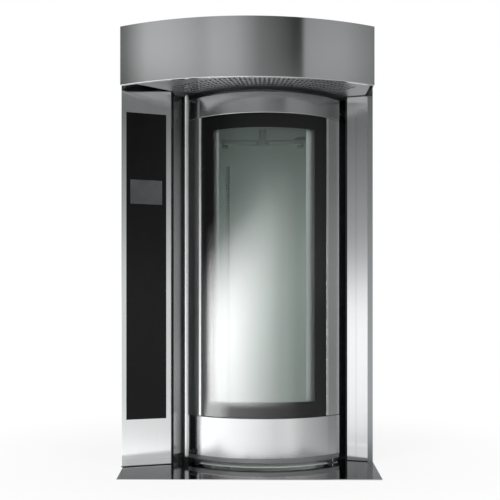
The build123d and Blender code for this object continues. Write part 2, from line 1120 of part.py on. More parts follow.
# Chamber walls
with BuildPart() as chamber_wall:
    panelled_wall(chamber_radius, liner_outer, ceiling_z)
chamber_wall.part.label = "chamber_wall"
export_step(chamber_wall.part, "parts/chamber_wall.step")

with BuildPart() as chamber_skin:
    panelled_wall(skin_inner, skin_outer, deck_low)
chamber_skin.part.label = "chamber_skin"
export_step(chamber_skin.part, "parts/chamber_skin.step")

with BuildPart() as insulation:
    upright_ring(
        liner_outer + touch_gap,
        skin_inner - touch_gap,
        chamber_centre,
        tray_top,
        deck_low,
    )
    cut_doorway(chamber_radius, skin_outer)
    cut_duct(chamber_radius, skin_outer)
    upright_rod(chamber_radius - touch_gap, chamber_centre, tray_top, tray_top + floor_board)
    upright_rod(liner_outer - touch_gap, chamber_centre, ceiling_z + ceiling_plate, deck_low)
    upright_rod(
        shaft_hole_radius,
        chamber_centre,
        ceiling_z,
        deck_low,
        mode=Mode.SUBTRACT,
    )
    upright_rod(
        flue_radius + flue_wall + touch_gap,
        (flue_x, flue_y),
        ceiling_z,
        deck_low,
        mode=Mode.SUBTRACT,
    )
    block(
        heat_left_x - slab_thickness - touch_gap,
        heat_left_x - touch_gap,
        heat_front_y,
        heat_rear_y,
        rail_top,
        deck_low,
    )
    block(
        heat_left_x,
        heat_right_x,
        heat_rear_y + touch_gap,
        heat_rear_y + slab_thickness + touch_gap,
        rail_top,
        deck_low,
    )
    rod_along_y(
        water_body_radius + touch_gap,
        water_x,
        water_z,
        heat_rear_y,
        rear_y,
        mode=Mode.SUBTRACT,
    )
insulation.part.label = "insulation"
export_step(insulation.part, "parts/insulation.step")

with BuildPart() as doorway_frame:
    jamb_outer_angle = doorway_half_angle + doorway_jamb_angle
    front_wall(chamber_radius, skin_outer, jamb_outer_angle, tray_top, lintel_top)
    front_wall(
        chamber_radius - cut_margin,
        skin_outer + cut_margin,
        doorway_half_angle,
        tray_top,
        doorway_head,
        mode=Mode.SUBTRACT,
    )
doorway_frame.part.label = "doorway_frame"
export_step(doorway_frame.part, "parts/doorway_frame.step")

with BuildPart() as doorway_gasket:
    gasket_inner = skin_outer + touch_gap
    gasket_high = lintel_top + gasket_above_doorway
    front_wall(
        gasket_inner,
        gasket_inner + gasket_thickness,
        gasket_outer_angle,
        floor_top,
        gasket_high + gasket_width,
    )
    front_wall(
        skin_outer - cut_margin,
        door_inner,
        gasket_inner_angle,
        tray_top,
        gasket_high,
        mode=Mode.SUBTRACT,
    )
doorway_gasket.part.label = "doorway_gasket"
export_step(doorway_gasket.part, "parts/doorway_gasket.step")

with BuildPart() as chamber_floor:
    upright_rod(
        chamber_radius - touch_gap,
        chamber_centre,
        tray_top + floor_board,
        floor_top,
    )
    ramp_half_angle = doorway_half_angle - ramp_side_gap_angle
    ramp_outer = chamber_radius + ramp_reach
    with BuildSketch(section_plane(front - ramp_half_angle)):
        with BuildLine():
            Polyline(
                (chamber_radius - touch_gap, tray_top),
                (ramp_outer, tray_top),
                (ramp_outer, tray_top + ramp_toe),
                (chamber_radius + ramp_flat, floor_top),
                (chamber_radius - touch_gap, floor_top),
                close=True,
            )
        make_face()
    revolve(axis=spin_axis, revolution_arc=2 * ramp_half_angle)
chamber_floor.part.label = "chamber_floor"
export_step(chamber_floor.part, "parts/chamber_floor.step")

with BuildPart() as chamber_ceiling:
    ceiling_top = ceiling_z + ceiling_plate
    upright_ring(
        shaft_hole_radius,
        liner_outer - touch_gap,
        chamber_centre,
        ceiling_z,
        ceiling_top,
    )
    upright_rod(
        flue_radius + flue_wall + touch_gap,
        (flue_x, flue_y),
        ceiling_z,
        ceiling_top,
        mode=Mode.SUBTRACT,
    )
chamber_ceiling.part.label = "chamber_ceiling"
export_step(chamber_ceiling.part, "parts/chamber_ceiling.step")

with BuildPart() as machine_deck:
    block(
        -frame_inner,
        frame_inner,
        hood_rear_y,
        frame_rear_y - tube,
        deck_low,
        deck_top,
    )
    curved_wall(
        skin_inner,
        deck_slot_radius,
        deck_slot_start_angle,
        deck_slot_end_angle,
        deck_low,
        deck_top,
        mode=Mode.SUBTRACT,
    )
    upright_rod(skin_outer, chamber_centre, deck_low, deck_top)
    upright_rod(
        shaft_hole_radius,
        chamber_centre,
        deck_low,
        deck_top,
        mode=Mode.SUBTRACT,
    )
    upright_rod(
        flue_radius + flue_wall + touch_gap,
        (flue_x, flue_y),
        deck_low,
        deck_top,
        mode=Mode.SUBTRACT,
    )
    upright_rod(
        fan_shaft_hole_radius,
        (fan_x, fan_y),
        deck_low,
        deck_top,
        mode=Mode.SUBTRACT,
    )
machine_deck.part.label = "machine_deck"
export_step(machine_deck.part, "parts/machine_deck.step")

with BuildPart() as air_panel:
    air_panel_outer = chamber_radius - touch_gap
    curved_wall(
        air_panel_outer - sheet,
        air_panel_outer,
        air_panel_start_angle,
        air_panel_end_angle,
        air_panel_low,
        air_panel_high,
    )
    for angle in air_slot_angles:
        with BuildSketch(radial_plane(duct_plane_radius, angle, air_slot_centre_z)):
            with GridLocations(air_slot_pair_spacing, air_slot_pitch, 2, air_slot_rows):
                Rectangle(air_slot_width, air_slot_height)
        extrude(amount=air_panel_outer - duct_plane_radius, mode=Mode.SUBTRACT)
air_panel.part.label = "air_panel"
export_step(air_panel.part, "parts/air_panel.step")

with BuildPart() as chamber_lamps:
    for angle in (front - lamp_angle, front + lamp_angle):
        curved_wall(
            chamber_radius - lamp_depth,
            chamber_radius - touch_gap,
            angle - lamp_half_angle,
            angle + lamp_half_angle,
            lamp_low,
            lamp_high,
        )
chamber_lamps.part.label = "chamber_lamps"
export_step(chamber_lamps.part, "parts/chamber_lamps.step")

# Door track and bottom guide
with BuildPart() as door_track:
    track_inner = skin_outer + touch_gap
    curved_wall(
        track_inner,
        track_inner + track_web,
        track_start_angle,
        track_end_angle,
        track_top - track_web_height,
        track_top,
    )
    curved_wall(
        track_inner,
        skin_outer + track_width,
        track_start_angle,
        track_end_angle,
        track_top - track_plate,
        track_top,
    )
door_track.part.label = "door_track"
export_step(door_track.part, "parts/door_track.step")

with BuildPart() as bottom_guide:
    curved_wall(
        door_inner,
        door_outer,
        guide_angle - guide_half_angle,
        guide_angle + guide_half_angle,
        tray_top,
        tray_top + guide_plate,
    )
    upright_rod(
        guide_pin_radius,
        polar(groove_centre, guide_angle),
        tray_top,
        tray_top + guide_plate + guide_pin_height,
    )
bottom_guide.part.label = "bottom_guide"
export_step(bottom_guide.part, "parts/bottom_guide.step")

# Door
with BuildPart() as door_sill_strip:
    front_wall(
        door_inner,
        door_outer - sill_strip_setback,
        door_half_angle,
        door_bottom,
        band_low,
    )
    front_wall(
        groove_centre - groove_width / 2,
        groove_centre + groove_width / 2,
        door_half_angle + door_wall_angle,
        door_bottom,
        door_bottom + groove_depth,
        mode=Mode.SUBTRACT,
    )
door_sill_strip.part.label = "door_sill_strip"
export_step(door_sill_strip.part, "parts/door_sill_strip.step")

with BuildPart() as door_bottom_band:
    front_wall(door_liner_outer, door_outer, door_half_angle, band_low, band_high)
    top_rim = door_bottom_band.edges().group_by(Axis.Z)[-1].filter_by(GeomType.CIRCLE)
    chamfer(top_rim.sort_by(SortBy.RADIUS)[-1], length=band_bevel)
    front_wall(
        door_inner,
        band_inner,
        door_half_angle - door_wall_angle,
        band_low,
        band_high - door_sheet,
        mode=Mode.SUBTRACT,
    )
door_bottom_band.part.label = "door_bottom_band"
export_step(door_bottom_band.part, "parts/door_bottom_band.step")

with BuildPart() as door_top_band:
    front_wall(door_inner, door_outer, door_half_angle, top_band_low, door_top)
    low_rim = door_top_band.edges().group_by(Axis.Z)[0].filter_by(GeomType.CIRCLE)
    chamfer(low_rim.sort_by(SortBy.RADIUS)[-1], length=band_bevel)
    open_angle = door_half_angle + door_wall_angle
    front_wall(
        door_inner - cut_margin,
        band_inner,
        open_angle,
        top_band_low + door_sheet,
        door_top - door_sheet,
        mode=Mode.SUBTRACT,
    )
    front_wall(
        door_inner - cut_margin,
        band_inner - top_flange_width,
        open_angle,
        door_top - door_sheet,
        door_top,
        mode=Mode.SUBTRACT,
    )
    for angle in (front - door_half_angle, front + door_half_angle - door_wall_angle):
        curved_wall(
            band_inner - end_return,
            band_inner,
            angle,
            angle + door_wall_angle,
            top_band_low,
            door_top,
        )
door_top_band.part.label = "door_top_band"
export_step(door_top_band.part, "parts/door_top_band.step")

with BuildPart() as door_stiles:
    stile_width_angle = door_half_angle - stile_angle
    for angle in (front - door_half_angle, front + stile_angle):
        curved_wall(
            door_liner_outer,
            door_outer,
            angle,
            angle + stile_width_angle,
            glass_low,
            glass_high,
        )
        curved_wall(
            door_liner_outer + door_sheet,
            band_inner,
            angle + door_wall_angle,
            angle + stile_width_angle - door_wall_angle,
            glass_low,
            glass_high,
            mode=Mode.SUBTRACT,
        )
door_stiles.part.label = "door_stiles"
export_step(door_stiles.part, "parts/door_stiles.step")

fixing_heights = (band_high + fixing_low_margin, top_band_low - fixing_high_margin)
fixing_angles = (front - fixing_angle, front + fixing_angle)

with BuildPart() as door_trims:
    trim_width_angle = stile_angle - trim_angle - 2 * trim_gap_angle
    for angle in (front - stile_angle + trim_gap_angle, front + trim_angle + trim_gap_angle):
        curved_wall(
            glass_inner,
            door_outer + trim_proud,
            angle,
            angle + trim_width_angle,
            glass_low,
            glass_high,
        )
    upright_edges = door_trims.edges().filter_by(Axis.Z)
    fillet(
        upright_edges.filter_by(
            lambda edge: (edge.center() - Vector(chamber_x, chamber_y, edge.center().Z)).length
            > door_outer
        ),
        radius=trim_rounding,
    )
    for angle in fixing_angles:
        for height in fixing_heights:
            radial_rod(fixing_radius, angle, height, glass_outer, glass_outer + fixing_head)
            radial_rod(fixing_stem_radius, angle, height, border_inner, glass_outer)
door_trims.part.label = "door_trims"
export_step(door_trims.part, "parts/door_trims.step")


def cut_fixing_holes(inner, outer):
    """Cut the four holes for the glass fixings."""
    for angle in fixing_angles:
        for height in fixing_heights:
            radial_rod(
                fixing_stem_radius + fixing_clearance,
                angle,
                height,
                inner,
                outer,
                mode=Mode.SUBTRACT,
            )


def round_window(part, depth, radius):
    """Round the four corners of a window in a curved wall."""
    corners = part.edges().filter_by(GeomType.LINE)
    corners = corners.filter_by(lambda edge: abs(edge.length - depth) < touch_gap)
    corners = corners.filter_by(
        lambda edge: glass_low + cut_margin < edge.center().Z < glass_high - cut_margin
    )
    fillet(corners, radius=radius)


with BuildPart() as door_outer_glass:
    front_wall(glass_inner, glass_outer, trim_angle, glass_low, glass_high)
    cut_fixing_holes(glass_inner - cut_margin, glass_outer + cut_margin)
door_outer_glass.part.label = "door_outer_glass"
export_step(door_outer_glass.part, "parts/door_outer_glass.step")

with BuildPart() as glass_border:
    front_wall(border_inner, border_outer, stile_angle, glass_low, glass_high)
    front_wall(
        border_inner - cut_margin,
        border_outer + cut_margin,
        window_half_angle,
        window_low,
        window_high,
        mode=Mode.SUBTRACT,
    )
    round_window(glass_border, border_depth, window_corner)
    cut_fixing_holes(border_inner - cut_margin, border_outer + cut_margin)
glass_border.part.label = "glass_border"
export_step(glass_border.part, "parts/glass_border.step")

with BuildPart() as door_liner:
    front_wall(door_inner, door_liner_outer, door_half_angle, band_low, top_band_low)
    front_wall(
        door_inner - cut_margin,
        door_liner_outer + cut_margin,
        inner_window_half_angle,
        inner_window_low,
        inner_window_high,
        mode=Mode.SUBTRACT,
    )
    round_window(door_liner, door_sheet, window_corner)
    for clip_start, clip_end, leg_start, leg_end in (
        (-clip_outer_angle, -clip_left_angle, -clip_outer_angle, -clip_leg_angle),
        (clip_right_angle, clip_outer_angle, clip_leg_angle, clip_outer_angle),
    ):
        curved_wall(
            clip_outer - clip_sheet,
            clip_outer,
            front + clip_start,
            front + clip_end,
            inner_window_low,
            inner_window_high,
        )
        curved_wall(
            door_liner_outer,
            clip_outer,
            front + leg_start,
            front + leg_end,
            inner_window_low,
            inner_window_high,
        )
door_liner.part.label = "door_liner"
export_step(door_liner.part, "parts/door_liner.step")

with BuildPart() as inner_glass:
    front_wall(
        inner_glass_inner,
        inner_glass_inner + inner_glass_thickness,
        inner_glass_half_angle,
        inner_window_low - inner_glass_overlap,
        inner_window_high + inner_glass_overlap,
    )
inner_glass.part.label = "inner_glass"
export_step(inner_glass.part, "parts/inner_glass.step")

with BuildPart() as door_handle_bar:
    upright_rod(
        bar_radius,
        polar(bar_circle_radius, bar_angle),
        bar_low,
        door_top + bar_above_door,
    )
    fillet(door_handle_bar.edges().filter_by(GeomType.CIRCLE), radius=bar_rounding)
    for height in (door_top - top_bracket_inset, band_low + bottom_bracket_inset):
        radial_rod(bracket_radius, bar_angle, height, door_outer, bar_circle_radius)
door_handle_bar.part.label = "door_handle_bar"
export_step(door_handle_bar.part, "parts/door_handle_bar.step")

roller_angles = (front - roller_angle, front + roller_angle)

with BuildPart() as roller_hangers:
    hanger_low = track_top + hanger_above_track
    head_outer = roller_inner - roller_gap
    for angle in roller_angles:
        curved_wall(
            hanger_inner,
            band_inner,
            angle - hanger_half_angle,
            angle + hanger_half_angle,
            hanger_low,
            hanger_low + hanger_height,
        )
        radial_rod(
            axle_head_radius,
            angle,
            roller_z,
            roller_outer + roller_gap,
            hanger_inner + axle_head,
        )
        radial_rod(axle_radius, angle, roller_z, head_outer, hanger_inner)
        radial_rod(axle_head_radius, angle, roller_z, head_outer - axle_head, head_outer)
roller_hangers.part.label = "roller_hangers"
export_step(roller_hangers.part, "parts/roller_hangers.step")


def build_roller(angle):
    """Add one running wheel of the door."""
    radial_rod(roller_radius, angle, roller_z, roller_inner, roller_outer)


with BuildPart() as roller_left:
    build_roller(roller_angles[0])
    fillet(roller_left.edges().filter_by(GeomType.CIRCLE), radius=roller_rounding)
    radial_rod(
        axle_radius + running_clearance,
        roller_angles[0],
        roller_z,
        roller_inner,
        roller_outer,
        mode=Mode.SUBTRACT,
    )
roller_left.part.label = "roller_left"
export_step(roller_left.part, "parts/roller_left.step")

with BuildPart() as roller_right:
    build_roller(roller_angles[1])
    fillet(roller_right.edges().filter_by(GeomType.CIRCLE), radius=roller_rounding)
    radial_rod(
        axle_radius + running_clearance,
        roller_angles[1],
        roller_z,
        roller_inner,
        roller_outer,
        mode=Mode.SUBTRACT,
    )
roller_right.part.label = "roller_right"
export_step(roller_right.part, "parts/roller_right.step")

# Heat box behind the left side of the chamber
fan_centre = (fan_x, fan_y)
fan_plate_top = fan_plate_low + heat_wall

with BuildPart() as heat_casing:
    block(heat_left_x, heat_right_x, heat_front_y, heat_rear_y, tray_top, deck_low)
    block(
        heat_left_x + heat_wall,
        heat_right_x - heat_wall,
        heat_front_y + heat_wall,
        heat_rear_y - heat_wall,
        tray_top + heat_wall,
        fan_plate_low,
        mode=Mode.SUBTRACT,
    )
    block(
        heat_left_x + heat_wall,
        heat_right_x - heat_wall,
        heat_front_y + heat_wall,
        heat_rear_y - heat_wall,
        fan_plate_top,
        deck_low - heat_wall,
        mode=Mode.SUBTRACT,
    )
    upright_rod(fan_inlet_radius, fan_centre, fan_plate_low, fan_plate_top, mode=Mode.SUBTRACT)
    upright_rod(
        fan_shaft_hole_radius,
        fan_centre,
        deck_low - heat_wall,
        deck_low,
        mode=Mode.SUBTRACT,
    )
    upright_rod(
        skin_outer + touch_gap,
        chamber_centre,
        tray_top,
        deck_low,
        mode=Mode.SUBTRACT,
    )
    rod_along_y(
        water_pipe_radius + touch_gap,
        water_x,
        water_z,
        heat_rear_y - heat_wall,
        heat_rear_y,
        mode=Mode.SUBTRACT,
    )
heat_casing.part.label = "heat_casing"
export_step(heat_casing.part, "parts/heat_casing.step")

with BuildPart() as heater_cage:
    heater_low = fan_plate_low - heater_length
    for low in (heater_low, fan_plate_low - heater_ring):
        upright_ring(heater_ring_inner, fan_radius, fan_centre, low, low + heater_ring)
    with BuildSketch(Plane.XY.offset(heater_low)):
        with Locations(fan_centre):
            with PolarLocations(heater_circle_radius, heater_rod_count):
                Circle(heater_rod_radius)
    extrude(amount=heater_length)
heater_cage.part.label = "heater_cage"
export_step(heater_cage.part, "parts/heater_cage.step")

with BuildPart() as steam_generator:
    steam_base = tray_top + heat_wall
    steam_top = steam_low + (steam_shelf_count - 1) * steam_shelf_pitch + steam_shelf
    for level in range(steam_shelf_count):
        shelf_low = steam_low + level * steam_shelf_pitch
        block(
            steam_x - steam_width / 2,
            steam_x + steam_width / 2,
            steam_y - steam_depth / 2,
            steam_y + steam_depth / 2,
            shelf_low,
            shelf_low + steam_shelf,
        )
    with BuildSketch(Plane.XY.offset(steam_base)):
        with Locations((steam_x, steam_y)):
            with GridLocations(steam_width - steam_leg, steam_depth - steam_leg, 2, 2):
                Rectangle(steam_leg, steam_leg)
    extrude(amount=steam_top - steam_base)
steam_generator.part.label = "steam_generator"
export_step(steam_generator.part, "parts/steam_generator.step")

with BuildPart() as water_inlet:
    body_front_y = rear_y - fitting_inside
    rod_along_y(water_body_radius, water_x, water_z, body_front_y, fitting_y)
    rod_along_y(water_flange_radius, water_x, water_z, rear_y, rear_y + fitting_flange)
    rod_along_y(
        water_pipe_radius,
        water_x,
        water_z,
        body_front_y - water_pipe_length,
        body_front_y,
    )
    rod_along_y(
        water_thread_radius,
        water_x,
        water_z,
        fitting_y - water_thread_depth,
        fitting_y,
        mode=Mode.SUBTRACT,
    )
    rod_along_y(
        water_pipe_bore,
        water_x,
        water_z,
        body_front_y - water_pipe_length,
        fitting_y,
        mode=Mode.SUBTRACT,
    )
water_inlet.part.label = "water_inlet"
export_step(water_inlet.part, "parts/water_inlet.step")

with BuildPart() as cable_gland:
    rod_along_y(gland_radius, gland_x, gland_z, rear_y - fitting_inside, fitting_y)
    with BuildSketch(Plane.XZ.offset(-rear_y - fitting_flange)):
        with Locations((gland_x, gland_z)):
            RegularPolygon(gland_nut_radius, side_count=gland_nut_sides)
    extrude(amount=fitting_flange)
    rod_along_y(
        gland_bore_radius,
        gland_x,
        gland_z,
        rear_y - fitting_inside,
        fitting_y,
        mode=Mode.SUBTRACT,
    )
cable_gland.part.label = "cable_gland"
export_step(cable_gland.part, "parts/cable_gland.step")

# Fan
with BuildPart() as fan_wheel:
    fan_top = fan_low + fan_height
    upright_rod(fan_radius, fan_centre, fan_top - fan_disc, fan_top)
    upright_ring(fan_inlet_radius - fan_disc, fan_radius, fan_centre, fan_low, fan_low + fan_disc)
    with BuildSketch(Plane.XY.offset(fan_low)):
        with Locations(fan_centre):
            with PolarLocations(fan_blade_radius, fan_blade_count):
                Rectangle(fan_blade_length, fan_disc, rotation=fan_blade_tilt)
    extrude(amount=fan_height)
    upright_rod(fan_hub_radius, fan_centre, fan_top - fan_hub_radius, fan_top)
    upright_rod(fan_shaft_radius, fan_centre, fan_top, deck_top + fan_shaft_rise)
fan_wheel.part.label = "fan_wheel"
export_step(fan_wheel.part, "parts/fan_wheel.step")

with BuildPart() as fan_motor:
    upright_rod(motor_flange_radius, fan_centre, deck_top, deck_top + motor_flange)
    upright_rod(motor_radius, fan_centre, deck_top, deck_top + motor_height)
    with BuildSketch(Plane.XY.offset(deck_top + motor_flange + motor_fin_margin)):
        with Locations(fan_centre):
            with PolarLocations(motor_radius, motor_fin_count):
                Rectangle(2 * motor_fin_height, motor_fin_width)
    extrude(amount=motor_height - motor_flange - 2 * motor_fin_margin)
    upright_rod(
        fan_shaft_radius + running_clearance,
        fan_centre,
        deck_top,
        deck_top + fan_shaft_rise + panel_gap,
        mode=Mode.SUBTRACT,
    )
fan_motor.part.label = "fan_motor"
export_step(fan_motor.part, "parts/fan_motor.step")

# Rack drive above the chamber
post_corners = [
    (chamber_x + side_x * post_x, chamber_y + side_y * post_y)
    for side_x in (-1, 1)
    for side_y in (-1, 1)
]

with BuildPart() as guide_posts:
    for corner in post_corners:
        upright_rod(post_radius, corner, deck_top, deck_top + post_height)
        upright_rod(post_foot_radius, corner, deck_top, deck_top + post_foot)
guide_posts.part.label = "guide_posts"
export_step(guide_posts.part, "parts/guide_posts.step")

with BuildPart() as lift_actuator:
    actuator_centre = (chamber_x, chamber_y + actuator_y)
    upright_rod(actuator_radius, actuator_centre, deck_top, deck_top + actuator_height)
    upright_rod(
        actuator_rod_radius + running_clearance,
        actuator_centre,
        deck_top + actuator_floor,
        deck_top + actuator_height,
        mode=Mode.SUBTRACT,
    )
lift_actuator.part.label = "lift_actuator"
export_step(lift_actuator.part, "parts/lift_actuator.step")

pinion_centre = (chamber_x + pinion_x, chamber_y)

with BuildPart() as lift_carriage:
    block(
        chamber_x - carriage_half_width,
        chamber_x + carriage_half_width,
        chamber_y - carriage_front,
        chamber_y + carriage_rear,
        carriage_low,
        carriage_top,
    )
    for corner in post_corners:
        upright_rod(
            post_radius + running_clearance,
            corner,
            carriage_low,
            carriage_top,
            mode=Mode.SUBTRACT,
        )
    upright_rod(bearing_radius, chamber_centre, carriage_top, carriage_top + bearing_height)
    upright_rod(
        shaft_radius + running_clearance,
        chamber_centre,
        carriage_low,
        carriage_top + bearing_height,
        mode=Mode.SUBTRACT,
    )
    upright_rod(
        pinion_shaft_radius + running_clearance,
        pinion_centre,
        carriage_low,
        carriage_top,
        mode=Mode.SUBTRACT,
    )
    upright_rod(
        actuator_rod_radius,
        actuator_centre,
        carriage_low - actuator_rod_length,
        carriage_low,
    )
lift_carriage.part.label = "lift_carriage"
export_step(lift_carriage.part, "parts/lift_carriage.step")

with BuildPart() as rack_gearmotor:
    gearmotor_top = carriage_top + gearmotor_height
    block(
        pinion_centre[0] - gearmotor_left,
        pinion_centre[0] + gearmotor_size - gearmotor_left,
        chamber_y - gearmotor_size / 2,
        chamber_y + gearmotor_size / 2,
        carriage_top,
        gearmotor_top - gearmotor_cap,
    )
    upright_rod(
        gearmotor_cap_radius,
        (pinion_centre[0] - gearmotor_left + gearmotor_size / 2, chamber_y),
        gearmotor_top - gearmotor_cap,
        gearmotor_top,
    )
    upright_rod(
        pinion_shaft_radius + running_clearance,
        pinion_centre,
        carriage_top,
        gear_low - pinion_overlap + pinion_shaft_length + panel_gap,
        mode=Mode.SUBTRACT,
    )
rack_gearmotor.part.label = "rack_gearmotor"
export_step(rack_gearmotor.part, "parts/rack_gearmotor.step")

with BuildPart() as rack_hook:
    hook_low = hook_top - hook_bar
    head_low = carriage_top + bearing_height + roller_gap
    block(
        chamber_x - hook_half_span,
        chamber_x + hook_half_span,
        chamber_y - hook_width / 2,
        chamber_y + hook_width / 2,
        hook_low,
        hook_top,
    )
    for side_x in (-1, 1):
        claw_outer_x = chamber_x + side_x * hook_half_span
        claw_inner_x = claw_outer_x - side_x * claw_wall
        lip_inner_x = claw_outer_x - side_x * claw_lip
        block(
            min(claw_outer_x, claw_inner_x),
            max(claw_outer_x, claw_inner_x),
            chamber_y - hook_width / 2,
            chamber_y + hook_width / 2,
            hook_top - claw_height,
            hook_low,
        )
        block(
            min(claw_outer_x, lip_inner_x),
            max(claw_outer_x, lip_inner_x),
            chamber_y - hook_width / 2,
            chamber_y + hook_width / 2,
            hook_top - claw_height,
            hook_top - claw_height + claw_wall,
        )
    upright_rod(hook_boss_radius, chamber_centre, hook_top - hook_boss, hook_top)
    upright_rod(shaft_radius, chamber_centre, hook_top, head_low)
    upright_rod(shaft_head_radius, chamber_centre, head_low, head_low + shaft_head)
rack_hook.part.label = "rack_hook"
export_step(rack_hook.part, "parts/rack_hook.step")

with BuildPart() as driven_gear:
    with BuildSketch(chamber_axis.offset(gear_low)):
        spur_teeth(gear_teeth, 0)
        with PolarLocations(gear_bolt_circle, gear_bolt_count):
            Circle(gear_bolt_radius, mode=Mode.SUBTRACT)
    extrude(amount=gear_width)
    upright_rod(
        gear_hub_radius,
        chamber_centre,
        gear_low - gear_hub,
        gear_low + gear_width + gear_hub,
    )
    upright_rod(
        shaft_radius + gear_fit,
        chamber_centre,
        gear_low - gear_hub,
        gear_low + gear_width + gear_hub,
        mode=Mode.SUBTRACT,
    )
driven_gear.part.label = "driven_gear"
export_step(driven_gear.part, "parts/driven_gear.step")

with BuildPart() as drive_pinion:
    pinion_low = gear_low - pinion_overlap
    with BuildSketch(Plane(origin=(*pinion_centre, pinion_low))):
        spur_teeth(pinion_teeth, 180 / pinion_teeth)
    extrude(amount=gear_width + 2 * pinion_overlap)
    upright_rod(
        pinion_shaft_radius,
        pinion_centre,
        pinion_low,
        pinion_low + pinion_shaft_length,
    )
drive_pinion.part.label = "drive_pinion"
export_step(drive_pinion.part, "parts/drive_pinion.step")

# Flue and its damper
with BuildPart() as flue_pipe:
    flue_centre = (flue_x, flue_y)
    flue_outer = flue_radius + flue_wall
    flue_top = case_top + collar_rise
    socket_low = flue_top - flue_socket_length
    upright_ring(flue_radius, flue_outer, flue_centre, ceiling_z, socket_low)
    upright_ring(
        flue_outer,
        flue_outer + flue_wall,
        flue_centre,
        socket_low - flue_socket_overlap,
        flue_top,
    )
    upright_ring(
        flue_radius,
        flue_outer + pipe_flange_width,
        flue_centre,
        deck_top,
        deck_top + pipe_flange,
    )
    with BuildSketch(Plane.YZ.offset(flue_x - flue_outer)):
        with Locations((flue_y, damper_z)):
            Circle(damper_shaft_radius + running_clearance)
    extrude(amount=2 * flue_outer, mode=Mode.SUBTRACT)
flue_pipe.part.label = "flue_pipe"
export_step(flue_pipe.part, "parts/flue_pipe.step")

with BuildPart() as damper_disc:
    upright_rod(
        flue_radius - damper_gap,
        flue_centre,
        damper_z - damper_sheet / 2,
        damper_z + damper_sheet / 2,
    )
    shaft_reach = flue_outer + damper_lever_gap
    with BuildSketch(Plane.YZ.offset(flue_x - shaft_reach)):
        with Locations((flue_y, damper_z)):
            Circle(damper_shaft_radius)
    extrude(amount=2 * shaft_reach)
    with BuildSketch(Plane.YZ.offset(flue_x + shaft_reach)):
        with Locations((flue_y, damper_z)):
            SlotCenterToCenter(damper_lever_length, damper_lever_width)
    extrude(amount=damper_lever)
damper_disc.part.label = "damper_disc"
export_step(damper_disc.part, "parts/damper_disc.step")
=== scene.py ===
import json
from math import asin, atan2, cos, degrees, pi, radians, sin, sqrt

import bmesh
import bpy
from mathutils import Matrix, Vector


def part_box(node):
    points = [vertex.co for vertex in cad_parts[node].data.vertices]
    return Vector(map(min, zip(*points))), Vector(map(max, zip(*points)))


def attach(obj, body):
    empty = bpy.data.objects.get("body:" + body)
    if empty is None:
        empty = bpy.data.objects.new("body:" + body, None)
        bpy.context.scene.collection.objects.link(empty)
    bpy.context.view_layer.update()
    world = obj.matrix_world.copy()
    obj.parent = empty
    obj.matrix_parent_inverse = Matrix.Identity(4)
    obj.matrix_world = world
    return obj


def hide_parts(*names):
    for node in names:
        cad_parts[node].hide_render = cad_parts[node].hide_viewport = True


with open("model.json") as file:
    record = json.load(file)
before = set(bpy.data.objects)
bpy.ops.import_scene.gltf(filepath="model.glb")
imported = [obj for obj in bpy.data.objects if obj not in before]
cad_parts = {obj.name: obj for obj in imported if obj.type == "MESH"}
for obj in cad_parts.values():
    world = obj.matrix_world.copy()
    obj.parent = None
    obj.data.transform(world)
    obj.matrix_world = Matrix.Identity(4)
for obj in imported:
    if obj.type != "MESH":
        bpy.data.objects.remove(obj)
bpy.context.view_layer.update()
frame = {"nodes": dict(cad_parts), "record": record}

bl_info = {
    "name": "Rotating rack oven",
    "version": (1, 0, 0),
    "blender": (4, 5, 0),
    "location": "3D View > Sidebar > Oven",
    "description": "Dresses the oven's frame with sheet metal, glass, handles, screws and finishes",
    "category": "Object",
}

NODES = frame["nodes"]

# The chamber's axis, measured on the round chamber wall. Angles are in degrees about it.
_wall_low, _wall_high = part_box("chamber_skin")
AXIS_X = (_wall_low.x + _wall_high.x) / 2
AXIS_Y = (_wall_low.y + _wall_high.y) / 2
FRONT = -90


def number(name, description, default, **settings):
    """A property for a number that isn't negative."""
    return bpy.props.FloatProperty(
        name=name, description=description, default=default, min=0.0, **settings
    )


def length(name, description, default):
    """A property for a length."""
    return number(name, description, default, unit="LENGTH", precision=4)


def share(name, description, default):
    """A property between 0 and 1."""
    return number(name, description, default, max=1.0, subtype="FACTOR")


def colour(name, description, default):
    """A property for a colour."""
    return bpy.props.FloatVectorProperty(
        name=name, description=description, default=default, min=0.0, max=1.0, subtype="COLOR"
    )


class OvenSizes(bpy.types.PropertyGroup):
    """Sizes of the oven's sheets, bars and fasteners"""

    sheet: length("Sheet", "Thickness of the folded sheets", 0.002)
    canopy_sheet: length("Canopy sheet", "Thickness of the canopy's front", 0.0025)
    fold: length("Fold", "Rounding of the sheets' folds", 0.003)
    edge: length("Edge", "Rounding of the sheets' cut edges", 0.0005)
    pane_edge: length("Pane edge", "Rounding of the panes' ground edges", 0.0006)
    strip: length("Strip", "Thickness of the black sealing strips", 0.0015)
    bar_radius: length("Handle radius", "Radius of the handle bar", 0.0113)
    bar_end: length("Handle end", "Rounding of the handle bar's ends", 0.007)
    trim_edge: length("Trim edge", "Rounding of the bright trims beside the glass", 0.0015)
    fixing_radius: length("Glass fixing", "Radius of the heads that hold the outer pane", 0.005)
    screw_radius: length("Panel screw", "Radius of the panel screws' heads", 0.0065)
    hood_depth: length("Louvre depth", "How far the louvres' hoods stand proud", 0.005)


